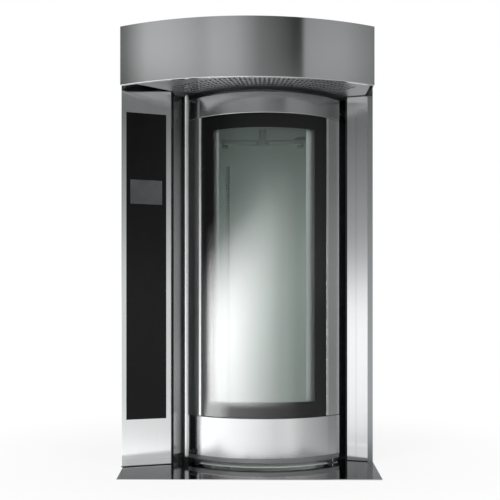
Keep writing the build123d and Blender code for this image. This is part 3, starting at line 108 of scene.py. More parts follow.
class OvenColours(bpy.types.PropertyGroup):
    """Colours of the oven's metals, glass, plastics and rubber"""

    steel: colour("Brushed steel", "Columns, case sheets and lower door band", (0.66, 0.67, 0.675))
    canopy: colour("Canopy steel", "Front of the canopy", (0.62, 0.63, 0.635))
    # Darker than the other steel: painted shade for the soffit's shade on the door's upper band
    top_band: colour("Top band", "Upper band of the door", (0.48, 0.49, 0.495))
    jamb: colour("Jamb steel", "Jamb left of the door", (0.4, 0.41, 0.415))
    side: colour("Side panels", "Side panels of the case", (0.38, 0.39, 0.4))
    plate: colour("Threshold plate", "Polished plate in front of the door", (0.6, 0.605, 0.61))
    chamber: colour("Chamber steel", "Walls of the baking chamber", (0.8, 0.83, 0.81))
    glass: colour("Door glass", "Tint of the door's clear panes", (0.87, 0.925, 0.905))
    control_glass: colour("Control glass", "Glass of the control column", (0.004, 0.004, 0.004))
    border: colour("Glass border", "Border behind the outer pane", (0.006, 0.006, 0.006))
    display: colour("Display", "Grey display in the control glass", (0.055, 0.058, 0.06))
    handle: colour("Handle", "Handle bar and door trims", (0.66, 0.665, 0.67))
    rubber: colour("Rubber", "Seals and strips", (0.012, 0.012, 0.012))
    steel_roughness: share("Steel roughness", "Roughness of the case's brushed sheets", 0.25)
    column_roughness: share("Column roughness", "Roughness of the columns beside the door", 0.19)
    canopy_roughness: share("Canopy roughness", "Roughness of the canopy's front", 0.13)


class OvenStage(bpy.types.PropertyGroup):
    """Light and floor of the studio"""

    key_power: number("Key light", "Power of the main lamp", 120.0, unit="POWER")
    fill_power: number("Fill light", "Power of the other lamps", 70.0, unit="POWER")
    gleam: number("Gleam", "Strength of the gleam in the door's glass", 22.0)
    floor_tone: share("Floor tone", "Tone of the pale floor", 0.86)


# Places on the oven


def heights(node):
    """A node's lowest and highest level."""
    low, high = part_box(node)
    return low.z, high.z


def polar(radius, angle):
    """A point at a radius and an angle about the chamber's axis."""
    return (AXIS_X + radius * cos(radians(angle)), AXIS_Y + radius * sin(radians(angle)))


def front_radius(node):
    """The outer radius of a node that crosses the front of the chamber."""
    return AXIS_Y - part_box(node)[0].y


def half_angle_of(node):
    """Half the angle that such a node spans."""
    return degrees(asin((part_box(node)[1].x - AXIS_X) / front_radius(node)))


DOOR_HALF_ANGLE = half_angle_of("door_top_band")
STILE_ANGLE = 39.35
PANE_RADIUS = front_radius("door_outer_glass")
WINDOW_LOW, WINDOW_HIGH, WINDOW_HALF_ANGLE = 0.345, 1.786, 29.7
TRIM_ANGLE, TRIM_SWEEP = 38.475, 1.67
FIXING_ANGLE, FIXING_LEVELS = 36.4, {"low": 0.53, "high": 1.585}
BAR_ANGLE, BAR_REACH = -134.8, 0.59
SIDES = {"left": -1, "right": 1}
# Corners of the control column, from the side of the case round to the jamb
SIDE_CORNER = (-0.682, -0.305)
FACE_LEFT = (-0.661, -0.479)
FACE_WIDTH, FACE_SLOPE = 0.2666, radians(18.37)
FACE_RIGHT = (
    FACE_LEFT[0] + FACE_WIDTH * cos(FACE_SLOPE),
    FACE_LEFT[1] + FACE_WIDTH * sin(FACE_SLOPE),
)
RETURN_END = (FACE_RIGHT[0] + 0.005, FACE_RIGHT[1] + 0.071)
JAMB_ANGLE = -144.4
POCKET_EDGE = polar(0.565, -36)
POCKET_SEAM, POCKET_WIDTH, POCKET_SLOPE = 0.048, 0.109, -0.303
SIDE_RIGHT_Y = -0.3201
# A point behind the sheets of each column and of the jamb
COLUMN_INSIDE, JAMB_INSIDE, POCKET_INSIDE = (-0.55, -0.38), (-0.42, -0.22), (0.62, -0.26)
CANOPY_HALF_WIDTH, CANOPY_CORNER_Y = 0.66, -0.529
AIR_PANEL_RADIUS, AIR_PANEL_ANGLES = 0.4438, (105.4, 126)
# The open joint between two sheets
JOINT = 0.0006


# Modelling


def clear_selection():
    """Leave edit mode and deselect every object."""
    if bpy.context.object and bpy.context.object.mode != "OBJECT":
        bpy.ops.object.mode_set(mode="OBJECT")
    bpy.ops.object.select_all(action="DESELECT")


def activate(piece):
    """Select one object alone and make it the active one."""
    clear_selection()
    piece.select_set(True)
    bpy.context.view_layer.objects.active = piece


def edit_all():
    """Enter edit mode with the whole mesh selected."""
    bpy.ops.object.mode_set(mode="EDIT")
    bpy.ops.mesh.select_all(action="SELECT")


def delete_faces(piece, test):
    """Delete the faces of a piece that pass a test."""
    activate(piece)
    bpy.ops.object.mode_set(mode="EDIT")
    bpy.ops.mesh.select_all(action="DESELECT")
    bpy.ops.mesh.select_mode(type="FACE")
    mesh = bmesh.from_edit_mesh(piece.data)
    for face in mesh.faces:
        face.select_set(test(face))
    mesh.select_flush_mode()
    bmesh.update_edit_mesh(piece.data)
    bpy.ops.mesh.delete(type="FACE")
    bpy.ops.object.mode_set(mode="OBJECT")


def place(piece, name):
    """Name a finished piece and put its place into its mesh."""
    activate(piece)
    bpy.ops.object.transform_apply(location=True, rotation=True, scale=True)
    piece.name = name
    piece.data.name = name
    return piece


def modify(piece, name, kind, **settings):
    """Add a modifier to the active piece and apply it."""
    modifier = piece.modifiers.new(name, kind)
    for label, value in settings.items():
        setattr(modifier, label, value)
    bpy.ops.object.modifier_apply(modifier=modifier.name)


def even_normals(piece, angle):
    """Smooth a piece's shading below an angle, and keep its flat faces flat."""
    activate(piece)
    bpy.ops.object.shade_smooth_by_angle(angle=radians(angle))
    modify(piece, "weighted normals", "WEIGHTED_NORMAL", keep_sharp=True, weight=100)
    return piece


def bevel(piece, name, width, segments, angle, **settings):
    """Round the edges of the active piece that turn by more than an angle."""
    settings.update(width=width, segments=segments)
    settings.update(limit_method="ANGLE", angle_limit=radians(angle))
    modify(piece, name, "BEVEL", **settings)


def soften(piece, width, segments=2, angle=60):
    """Round the sharp edges of a piece and smooth the rest."""
    activate(piece)
    bevel(piece, "rounded edges", width, segments, angle, miter_outer="MITER_ARC")
    return even_normals(piece, angle)


def mount(piece, body, slot, *nodes):
    """Let a piece ride on a body, take a finish and stand for the named nodes."""
    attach(piece, body)
    if nodes:
        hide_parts(*nodes)
    piece.data.materials.clear()
    piece.data.materials.append(finish(slot))


def join(name, pieces):
    """Join pieces into one object."""
    clear_selection()
    for piece in pieces:
        piece.select_set(True)
    bpy.context.view_layer.objects.active = pieces[0]
    bpy.ops.object.join()
    return place(pieces[0], name)


def primitive(add, name, size, location, rotation=(0, 0, 0)):
    """A plane or a cube of a size, at its place."""
    clear_selection()
    add(size=1, location=location, rotation=rotation)
    bpy.context.object.scale = size
    return place(bpy.context.object, name)


def cylinder(name, radius, depth, location, rotation=(0, 0, 0), vertices=48):
    """A cylinder at its place."""
    clear_selection()
    bpy.ops.mesh.primitive_cylinder_add(
        vertices=vertices, radius=radius, depth=depth, location=location, rotation=rotation
    )
    return place(bpy.context.object, name)


def peg(name, radius, inner, outer, angle, level):
    """A cylinder that points away from the chamber's axis, between two radii."""
    spot = (*polar((inner + outer) / 2, angle), level)
    return cylinder(name, radius, outer - inner, spot, (0, pi / 2, radians(angle)))


def extrude(step):
    """Extrude what is selected by a step."""
    bpy.ops.mesh.extrude_region_move(TRANSFORM_OT_translate={"value": step})


def chain(name, points):
    """A line of edges through points, drawn by extruding a single vertex."""
    clear_selection()
    bpy.ops.mesh.primitive_plane_add(size=0.01, location=points[0])
    piece = place(bpy.context.object, name)
    bpy.ops.object.mode_set(mode="EDIT")
    bpy.ops.mesh.select_mode(type="VERT")
    bpy.ops.mesh.select_all(action="SELECT")
    bpy.ops.mesh.merge(type="CENTER")
    for start, end in zip(points, points[1:]):
        extrude(Vector(end) - Vector(start))
    bpy.ops.mesh.select_all(action="SELECT")
    return piece


def spin_all(sweeps, centre=(AXIS_X, AXIS_Y)):
    """Spin what is selected about an upright axis, stretch after stretch, and merge the seams."""
    for sweep, steps in sweeps:
        bpy.ops.mesh.spin(
            steps=steps, angle=-radians(sweep), center=(*centre, 0), axis=(0, 0, 1)
        )
    bpy.ops.mesh.select_all(action="SELECT")
    bpy.ops.mesh.remove_doubles(threshold=0.00001)


def face_out(piece, inside):
    """Turn the faces of an open sheet away from a point inside it."""
    bpy.ops.object.mode_set(mode="OBJECT")
    face = piece.data.polygons[0]
    if face.normal.dot(face.center - Vector(inside)) < 0:
        edit_all()
        bpy.ops.mesh.flip_normals()
        bpy.ops.object.mode_set(mode="OBJECT")


def thicken(piece, thickness, fold):
    """Round a sheet's folds, give it its thickness inwards and break its edges."""
    activate(piece)
    if fold:
        bevel(piece, "folds", fold, segments=3, angle=12)
    modify(
        piece, "thickness", "SOLIDIFY", thickness=thickness, offset=-1, use_even_offset=True
    )
    soften(piece, bpy.context.scene.oven_sizes.edge, angle=50)
    return even_normals(piece, 25)


def folded(name, points, low, high, inside, thickness=None, fold=None):
    """An upright folded sheet whose outer face follows the points."""
    sizes = bpy.context.scene.oven_sizes
    piece = chain(name, [(*point, low) for point in points])
    extrude((0, 0, high - low))
    face_out(piece, (*inside, low))
    return thicken(piece, thickness or sizes.sheet, sizes.fold if fold is None else fold)


def rolled(name, section, start, sweeps, thickness, centre=(AXIS_X, AXIS_Y)):
    """A rolled sheet: a section of radii and heights, spun about an upright axis."""
    turn = Vector((cos(radians(start)), sin(radians(start)), 0))
    middle = Vector((*centre, 0))
    points = [middle + turn * radius + Vector((0, 0, height)) for radius, height in section]
    piece = chain(name, points)
    spin_all(sweeps, centre)
    # A point on the axis, just under the level where the section is widest
    face_out(piece, middle + Vector((0, 0, max(section)[1] - 0.001)))
    return thicken(piece, thickness, bpy.context.scene.oven_sizes.fold)


def spun_bar(name, inner, outer, low, high, start, sweeps, rounding, segments=2):
    """A curved bar or pane about the chamber: a section plane spun about its axis."""
    size = (outer - inner, high - low, 1)
    spot = (*polar((inner + outer) / 2, start), (low + high) / 2)
    turn = (pi / 2, 0, radians(start))
    piece = primitive(bpy.ops.mesh.primitive_plane_add, name, size, spot, turn)
    edit_all()
    spin_all(sweeps)
    bpy.ops.mesh.normals_make_consistent(inside=False)
    bpy.ops.object.mode_set(mode="OBJECT")
    return soften(piece, rounding, segments, angle=50)


def face_plate(name, across, levels, proud, thickness, rounding):
    """A plate set into the face of the control column."""
    along = (Vector(FACE_RIGHT) - Vector(FACE_LEFT)).normalized()
    outward = Vector((along.y, -along.x))
    (left, right), (low, high) = across, levels
    middle = Vector(FACE_LEFT) + along * (left + right) / 2 + outward * (proud - thickness / 2)
    spot = (middle.x, middle.y, (low + high) / 2)
    size = (right - left, thickness, high - low)
    turn = (0, 0, atan2(along.y, along.x))
    plate = primitive(bpy.ops.mesh.primitive_cube_add, name, size, spot, turn)
    return soften(plate, rounding)


def offset_line(points, distance):
    """A line of points moved to its right by a distance, with mitred corners."""
    spots = [Vector(point) for point in points]
    ways = [(end - start).normalized() for start, end in zip(spots, spots[1:])]
    sides = [Vector((way.y, -way.x)) for way in ways]
    moved = []
    for index, spot in enumerate(spots):
        mitre = sides[max(index - 1, 0)] + sides[min(index, len(sides) - 1)]
        moved.append(tuple(spot + mitre * (2 * distance / mitre.length_squared)))
    return moved


def screw_head(radius):
    """A low round screw head with a hexagon socket, standing on the XY plane."""
    height = 0.35 * radius
    head = cylinder("screw_head", radius, height, (0, 0, height / 2), vertices=24)
    soften(head, 0.8 * height, segments=3)
    socket = cylinder("screw_socket", 0.45 * radius, height, (0, 0, height), vertices=6)
    activate(head)
    modify(head, "socket", "BOOLEAN", operation="DIFFERENCE", object=socket)
    bpy.data.objects.remove(socket)
    return even_normals(head, 40)


def facing(spot, outward):
    """A frame at a spot whose Z axis points outwards."""
    turn = Vector(outward).to_track_quat("Z", "Y")
    return Matrix.Translation(spot) @ turn.to_matrix().to_4x4()


def copies(name, source, frames):
    """Copies of a piece, each with its own mesh, joined at the given frames."""
    pieces = []
    for turn_and_place in frames:
        copy = source.copy()
        copy.data = source.data.copy()
        copy.data.transform(turn_and_place)
        bpy.context.scene.collection.objects.link(copy)
        pieces.append(copy)
    return join(name, pieces)


# Shader nodes


def add_node(tree, kind, inputs=(), **settings):
    """A shader node whose inputs are linked to sockets or set to values."""
    node = tree.nodes.new("ShaderNode" + kind)
    for label, value in settings.items():
        setattr(node, label, value)
    for label, value in dict(inputs).items():
        if isinstance(value, bpy.types.NodeSocket):
            tree.links.new(value, node.inputs[label])
        else:
            node.inputs[label].default_value = value
    return node


def math_node(tree, operation, *values):
    """A math node of sockets and numbers."""
    return add_node(tree, "Math", enumerate(values), operation=operation).outputs[0]


def noise_node(tree, vector, scale, detail=3.0, roughness=0.5):
    """A noise texture that reads a vector socket."""
    inputs = {"Vector": vector, "Scale": scale, "Detail": detail, "Roughness": roughness}
    return add_node(tree, "TexNoise", inputs).outputs["Fac"]


def range_node(tree, value, source, target=(0.0, 1.0), ease="SMOOTHSTEP"):
    """A value carried from one range to another."""
    inputs = dict(zip(("From Min", "From Max", "To Min", "To Max"), (*source, *target)))
    node = add_node(tree, "MapRange", {"Value": value, **inputs}, interpolation_type=ease)
    return node.outputs["Result"]


def mix_colours(tree, factor, first, second, blend="MIX"):
    """Two colours mixed by a factor."""
    inputs = {"Factor": factor, "A": first, "B": second}
    node = add_node(tree, "Mix", inputs, data_type="RGBA", blend_type=blend)
    return node.outputs["Result"]


def ramp_node(tree, value, stops):
    """A colour ramp from (place, colour) stops."""
    node = add_node(tree, "ValToRGB", {"Fac": value})
    elements = node.color_ramp.elements
    while len(elements) < len(stops):
        elements.new(0.5)
    for element, (spot, shade) in zip(elements, stops):
        element.position = spot
        element.color = (*shade, 1)
    return node.outputs["Color"]


def tone_ramp(tree, value, tones, start=0.0, span=1.0):
    """A ramp of grey tones, whose places cover a span from a start."""
    stops = [((spot - start) / span, (tone,) * 3) for spot, tone in tones]
    return ramp_node(tree, value, stops)


def axes(tree, vector):
    """The X, Y and Z parts of a vector socket."""
    return add_node(tree, "SeparateXYZ", {0: vector}).outputs


def azimuth(tree, side, forward):
    """The angle round from the front, as a part of a turn that is 0.5 at the front."""
    angle = math_node(tree, "ARCTAN2", side, forward)
    return math_node(tree, "MULTIPLY_ADD", angle, 0.5 / pi, 0.5)


def new_group(name, inputs, outputs):
    """A shader node group with named sockets, with its source and result nodes."""
    group = bpy.data.node_groups.new(name, "ShaderNodeTree")
    for label, kind, default in inputs:
        socket = group.interface.new_socket(name=label, in_out="INPUT", socket_type=kind)
        if default is not None:
            socket.default_value = default
    for label, kind in outputs:
        group.interface.new_socket(name=label, in_out="OUTPUT", socket_type=kind)
    return group, group.nodes.new("NodeGroupInput"), group.nodes.new("NodeGroupOutput")


def grain_group():
    """Fine brushed lines: noise drawn out along one direction, with soft blotches."""
    name = "Brushed grain"
    if name in bpy.data.node_groups:
        return bpy.data.node_groups[name]
    group, source, result = new_group(
        name,
        [("Vector", "NodeSocketVector", None), ("Blotch scale", "NodeSocketFloat", 6.0)],
        [("Lines", "NodeSocketFloat"), ("Blotches", "NodeSocketFloat")],
    )
    lines = noise_node(group, source.outputs["Vector"], 1.0, detail=4.0, roughness=0.7)
    coordinates = add_node(group, "TexCoord").outputs["Object"]
    blotches = noise_node(group, coordinates, source.outputs["Blotch scale"], detail=2.0)
    group.links.new(lines, result.inputs["Lines"])
    group.links.new(blotches, result.inputs["Blotches"])
    return group


class MaterialMaker:
    """Adds nodes to one material, around its Principled BSDF."""

    def __init__(self, name):
        self.material = bpy.data.materials.new(name)
        self.material.use_nodes = True
        self.tree = self.material.node_tree
        self.shader = self.tree.nodes["Principled BSDF"]
        self.coordinates = add_node(self.tree, "TexCoord").outputs["Object"]

    def set(self, **values):
        """Set uniform values on the shader's own sockets."""
        for label, value in values.items():
            self.shader.inputs[label.replace("_", " ")].default_value = value

    def link(self, output, label):
        """Link an output to one of the shader's sockets."""
        self.tree.links.new(output, self.shader.inputs[label])

    def stretched(self, scale):
        """The object's coordinates, scaled apart along the three axes."""
        inputs = {"Vector": self.coordinates, "Scale": scale}
        return add_node(self.tree, "Mapping", inputs).outputs["Vector"]

    def shade(self, value, colour, depth):
        """Let a value shade the base colour darker and lighter by a depth."""
        dark = tuple(channel * (1 - depth) for channel in colour)
        light = tuple(min(1.0, channel * (1 + depth)) for channel in colour)
        self.link(ramp_node(self.tree, value, [(0.3, dark), (0.7, light)]), "Base Color")

    def roughen(self, value, low, high):
        """Let a value vary the roughness between two limits."""
        self.link(range_node(self.tree, value, (0.25, 0.75), (low, high), "LINEAR"), "Roughness")

    def bump(self, height, strength, distance):
        """Let a height feed the shader's normal."""
        inputs = {"Strength": strength, "Distance": distance, "Height": height}
        self.link(add_node(self.tree, "Bump", inputs).outputs["Normal"], "Normal")

    def blend(self, factor, other):
        """Mix another shader over the material's own."""
        inputs = {0: factor, 1: self.shader.outputs[0], 2: other}
        mix = add_node(self.tree, "MixShader", inputs)
        output = self.tree.nodes["Material Output"]
        self.tree.links.new(mix.outputs[0], output.inputs["Surface"])


def brushed_metal(
    name, colour, roughness, grain,
    spread=0.05, shade=0.04, bump=0.05, lay=None, stretch=0.9, metal=1.0,
):
    """Brushed sheet metal. Grain holds the noise scales along X, Y and Z, and lay its direction."""
    maker = MaterialMaker(name)
    tree = maker.tree
    marks = add_node(tree, "Group", node_tree=grain_group())
    tree.links.new(maker.stretched(grain), marks.inputs["Vector"])
    lines = math_node(tree, "MULTIPLY", marks.outputs["Lines"], 0.6)
    blotches = math_node(tree, "MULTIPLY", marks.outputs["Blotches"], 0.4)
    mixed = math_node(tree, "ADD", lines, blotches)
    maker.shade(mixed, colour, shade)
    maker.roughen(mixed, roughness - spread, roughness + spread)
    maker.bump(marks.outputs["Lines"], bump, 0.0002)
    maker.set(Metallic=metal)
    if lay:
        maker.set(Anisotropic=stretch, Anisotropic_Rotation=0.25 if lay == "level" else 0.0)


def mottled(name, colour, roughness, scale, shade=0.08, bump=0.1, distance=0.0005, **values):
    """A plain surface with fine mottling, for paint, plastic, rubber and wool."""
    maker = MaterialMaker(name)
    speckle = noise_node(maker.tree, maker.coordinates, scale, detail=6.0, roughness=0.6)
    maker.shade(speckle, colour, shade)
    maker.roughen(speckle, roughness * 0.85, min(1.0, roughness * 1.15))
    maker.bump(speckle, bump, distance)
    maker.set(**values)


def clear_glass(name, colour):
    """Glass that lets light in: shadow and diffuse rays pass straight through."""
    maker = MaterialMaker(name)
    tree = maker.tree
    maker.set(Base_Color=(*colour, 1), IOR=1.45, Transmission_Weight=1.0)
    maker.roughen(noise_node(tree, maker.stretched((3, 3, 1)), 2.0), 0.0, 0.02)
    tint = (*(0.9 + 0.1 * channel for channel in colour), 1)
    see_through = add_node(tree, "BsdfTransparent", {"Color": tint})
    path = add_node(tree, "LightPath").outputs
    passing = math_node(tree, "MAXIMUM", path["Is Shadow Ray"], path["Is Diffuse Ray"])
    maker.blend(passing, see_through.outputs[0])


def black_glass(name, colour):
    """Opaque glossy black glass with faint smears."""
    maker = MaterialMaker(name)
    smear = noise_node(maker.tree, maker.stretched((2, 2, 0.6)), 3.0)
    maker.shade(smear, colour, 0.25)
    maker.roughen(smear, 0.04, 0.09)
    maker.set(IOR=1.5, Specular_IOR_Level=0.15)


# Scales of the grain along X, Y and Z
UPRIGHT = (700, 700, 3)
LEVEL = (3, 3, 900)
LINER = (8, 8, 700)
EVEN = (200, 200, 200)

# What makes each finish, from its material's name and the oven's colours
FINISHES = {
    "canopy_steel": lambda n, c: brushed_metal(
        n, c.canopy, c.canopy_roughness, LEVEL, spread=0.015, lay="level", stretch=0.8
    ),
    "column_steel": lambda n, c: brushed_metal(
        n, c.steel, c.column_roughness, UPRIGHT, spread=0.03, lay="upright", stretch=1.0
    ),
    # The top band's darker base colour is painted shade from the soffit above it
    "top_band_steel": lambda n, c: brushed_metal(
        n, c.top_band, 0.18, LEVEL, spread=0.02, lay="level", stretch=0.1
    ),
    "shaded_steel": lambda n, c: brushed_metal(n, (0.2, 0.203, 0.207), 0.5, EVEN, spread=0.03),
    "jamb_steel": lambda n, c: brushed_metal(
        n, c.jamb, 0.22, UPRIGHT, spread=0.03, lay="upright"
    ),
    "side_steel": lambda n, c: brushed_metal(n, c.side, 0.4, UPRIGHT, spread=0.03, lay="upright"),
    "plate_steel": lambda n, c: brushed_metal(
        n, c.plate, 0.05, (300, 3, 3), spread=0.02, shade=0.02, bump=0.005
    ),
    "soffit_steel": lambda n, c: brushed_metal(n, (0.5, 0.505, 0.51), 0.55, EVEN, spread=0.04),
    "liner_steel": lambda n, c: brushed_metal(
        n, (0.6, 0.62, 0.61), 0.4, LINER, shade=0.02, bump=0.01, metal=0.8
    ),
    "ceiling_steel": lambda n, c: brushed_metal(
        n, (0.5, 0.51, 0.5), 0.55, (8, 8, 200), shade=0.08, bump=0.02, metal=0.3
    ),
    "bracket_steel": lambda n, c: brushed_metal(n, (0.1, 0.1, 0.105), 0.4, EVEN, spread=0.03),
    "screw_steel": lambda n, c: brushed_metal(
        n, (0.5, 0.5, 0.51), 0.3, (400, 400, 400), spread=0.04
    ),
    "fixing_dark": lambda n, c: mottled(n, (0.03,) * 3, 0.35, 200, bump=0.05, Metallic=0.6),
    "brushed_stainless": lambda n, c: brushed_metal(
        n, c.steel, 0.15, LEVEL, spread=0.02, lay="level"
    ),
    "polished_stainless": lambda n, c: brushed_metal(
        n, (0.6, 0.61, 0.61), 0.12, (60, 400, 60), spread=0.03
    ),
    "cabinet_stainless": lambda n, c: brushed_metal(
        n, c.steel, c.steel_roughness, UPRIGHT, spread=0.03, lay="upright"
    ),
    "chamber_stainless": lambda n, c: brushed_metal(
        n, c.chamber, 0.4, LINER, shade=0.02, bump=0.01, metal=0.3
    ),
    "galvanised_sheet": lambda n, c: brushed_metal(
        n, (0.5, 0.51, 0.52), 0.5, (40, 40, 40), shade=0.12
    ),
    "frame_steel": lambda n, c: mottled(n, (0.05, 0.053, 0.057), 0.5, 150),
    "clear_glass": lambda n, c: clear_glass(n, c.glass),
    "black_glass": lambda n, c: black_glass(n, c.control_glass),
    "black_border": lambda n, c: mottled(
        n, c.border, 0.9, 300, bump=0.0, Specular_IOR_Level=0.0
    ),
    "display_grey": lambda n, c: mottled(
        n, c.display, 0.25, 8, shade=0.2, bump=0.0, Specular_IOR_Level=0.2
    ),
    "handle_chrome": lambda n, c: brushed_metal(n, c.handle, 0.28, (500, 500, 2)),
    "black_rubber": lambda n, c: mottled(n, c.rubber, 0.7, 400),
    "sill_aluminium": lambda n, c: brushed_metal(n, (0.42, 0.42, 0.43), 0.4, (4, 4, 600)),
    "mineral_wool": lambda n, c: mottled(
        n, (0.5, 0.42, 0.2), 0.95, 120, shade=0.3, bump=0.8, distance=0.004
    ),
    "machined_steel": lambda n, c: brushed_metal(n, (0.56, 0.56, 0.57), 0.25, EVEN),
    "cast_steel": lambda n, c: mottled(n, (0.12,) * 3, 0.6, 90, bump=0.4, Metallic=0.8),
    "motor_paint": lambda n, c: mottled(n, (0.05, 0.07, 0.1), 0.4, 200, bump=0.2),
    "fitting_brass": lambda n, c: brushed_metal(n, (0.78, 0.56, 0.24), 0.25, (120, 300, 120)),
    "black_plastic": lambda n, c: mottled(n, (0.015, 0.015, 0.016), 0.45, 300),
    "lamp_glass": lambda n, c: mottled(n, (0.3, 0.3, 0.29), 0.35, 60, shade=0.03),
}
# Nodes whose finish isn't the one of their slot
NODE_FINISHES = {
    "door_liner": "liner_steel",
    "doorway_frame": "liner_steel",
    "chamber_ceiling": "ceiling_steel",
    "side_panel_left": "side_steel",
    "side_panel_right": "side_steel",
    "threshold_plate": "plate_steel",
    "hood_soffit": "soffit_steel",
    "hood_back_wall": "shaded_steel",
}


def finish(slot):
    """The material of a slot, made the first time that it is asked for."""
    name = slot.replace("_", " ").capitalize()
    if name not in bpy.data.materials:
        FINISHES[slot](name, bpy.context.scene.oven_colours)
    return bpy.data.materials[name]


# The oven's pieces


class OVEN_OT_finishes(bpy.types.Operator):
    """Give every carried-over part the finish of its material slot"""

    bl_idname = "oven.finishes"
    bl_label = "Finishes"

    def execute(self, context):
        for entry in frame["record"]["subparts"]:
            mesh = NODES[entry["node"]].data
            mesh.materials.clear()
            slot = NODE_FINISHES.get(entry["node"], entry["material_slot"])
            mesh.materials.append(finish(slot))
        return {"FINISHED"}


class OVEN_OT_door_panels(bpy.types.Operator):
    """Roll the door's steel bands and fold its stiles"""

    bl_idname = "oven.door_panels"
    bl_label = "Door panels"

    def execute(self, context):
        outer = front_radius("door_top_band")
        # A flat facet at each end and the round front between them
        facet = DOOR_HALF_ANGLE - STILE_ANGLE
        sweeps = [(facet, 1), (2 * STILE_ANGLE, 80), (facet, 1)]
        start = FRONT - DOOR_HALF_ANGLE
        lip, wide_lip = 0.012, 0.03
        for name, node, slot, top in (
            ("door_band_top", "door_top_band", "top_band_steel", wide_lip),
            ("door_band_bottom", "door_bottom_band", "brushed_stainless", lip),
        ):
            low, high = heights(node)
            section = [(outer - top, high), (outer, high), (outer, low), (outer - lip, low)]
            band = rolled(name, section, start, sweeps, context.scene.oven_sizes.sheet)
            mount(band, "door", slot, node)

        for side, slot, nodes in (
            ("left", "shaded_steel", []),
            ("right", "brushed_stainless", ["door_stiles"]),
        ):
            points = [
                polar(radius, FRONT + SIDES[side] * angle)
                for radius, angle in (
                    (outer - 0.014, STILE_ANGLE),
                    (outer, STILE_ANGLE),
                    (outer, DOOR_HALF_ANGLE),
                    (outer - 0.04, DOOR_HALF_ANGLE),
                )
            ]
            inside = polar(outer - 0.02, FRONT + SIDES[side] * (STILE_ANGLE + 4))
            stile = folded("stile_" + side, points, *heights("door_stiles"), inside)
            mount(stile, "door", slot, *nodes)
        return {"FINISHED"}


def door_pane(name, node, thickness, steps):
    """A clear pane of the door, in the place of a node."""
    outer, half_angle = front_radius(node), half_angle_of(node)
    sweeps = [(2 * half_angle, steps)]
    edge = bpy.context.scene.oven_sizes.pane_edge
    start = FRONT - half_angle
    pane = spun_bar(name, outer - thickness, outer, *heights(node), start, sweeps, edge)
    mount(pane, "door", "clear_glass", node)


class OVEN_OT_door_glass(bpy.types.Operator):
    """Make the door's curved panes and the bright trims beside them"""

    bl_idname = "oven.door_glass"
    bl_label = "Door glass"

    def execute(self, context):
        sizes = context.scene.oven_sizes
        door_pane("pane_outer", "door_outer_glass", thickness=0.006, steps=96)

        outer = PANE_RADIUS - 0.0058
        inner = outer - 0.004
        low, high = heights("glass_border")
        edge = half_angle_of("door_outer_glass") - 0.05
        width = edge - WINDOW_HALF_ANGLE
        # Each bar's levels, start and sweeps: one at each side, then one below and one above
        bars = [
            (low, high, FRONT + side * (edge + WINDOW_HALF_ANGLE) / 2 - width / 2, [(width, 20)])
            for side in (-1, 1)
        ]
        bars += [
            (bottom, top, FRONT - WINDOW_HALF_ANGLE, [(2 * WINDOW_HALF_ANGLE, 60)])
            for bottom, top in ((low, WINDOW_LOW), (WINDOW_HIGH, high))
        ]
        parts = [spun_bar("border_bar", inner, outer, *bar, rounding=0.0004) for bar in bars]
        mount(join("glass_border_enamel", parts), "door", "black_border", "glass_border")

        door_pane("pane_inner", "inner_glass", thickness=0.005, steps=80)

        outer = PANE_RADIUS + 0.0035
        inner = outer - 0.0095
        low, high = heights("door_trims")
        trims = []
        for side in (-1, 1):
            start = FRONT + side * TRIM_ANGLE - TRIM_SWEEP / 2
            sweeps = [(TRIM_SWEEP, 6)]
            edge = sizes.trim_edge
            trims.append(spun_bar("trim", inner, outer, low, high, start, sweeps, edge, segments=3))
        mount(join("door_trim_pair", trims), "door", "handle_chrome", "door_trims")

        outer = PANE_RADIUS + 0.0016
        for side, way in SIDES.items():
            angle = FRONT + way * FIXING_ANGLE
            for label, level in FIXING_LEVELS.items():
                name = f"glass_fixing_{side}_{label}"
                head = peg(name, sizes.fixing_radius, PANE_RADIUS, outer, angle, level)
                mount(soften(head, 0.0006, segments=3), "door", "fixing_dark")
        return {"FINISHED"}


class OVEN_OT_handle(bpy.types.Operator):
    """Turn the door's tall round handle bar and its brackets"""

    bl_idname = "oven.handle"
    bl_label = "Handle bar"

    def execute(self, context):
        sizes = context.scene.oven_sizes
        low, high = heights("door_handle_bar")
        middle = (*polar(BAR_REACH, BAR_ANGLE), (low + high) / 2)
        bar = cylinder("handle_bar_round", sizes.bar_radius, high - low, middle, vertices=64)
        soften(bar, sizes.bar_end, segments=6)
        mount(bar, "door", "handle_chrome", "door_handle_bar")

        # Each round part's radius, and the radii about the chamber's axis where it starts and ends
        stem = (0.008, 0.55, BAR_REACH)
        flange = (0.013, 0.55, 0.556)
        collar = (0.0105, 0.573, 0.5775)
        parts = [
            soften(peg("bracket", *shape, BAR_ANGLE, level), 0.0012, segments=3)
            for level in (high - 0.024, low + 0.025)
            for shape in (stem, flange, collar)
        ]
        mount(join("handle_brackets", parts), "door", "bracket_steel")
        return {"FINISHED"}


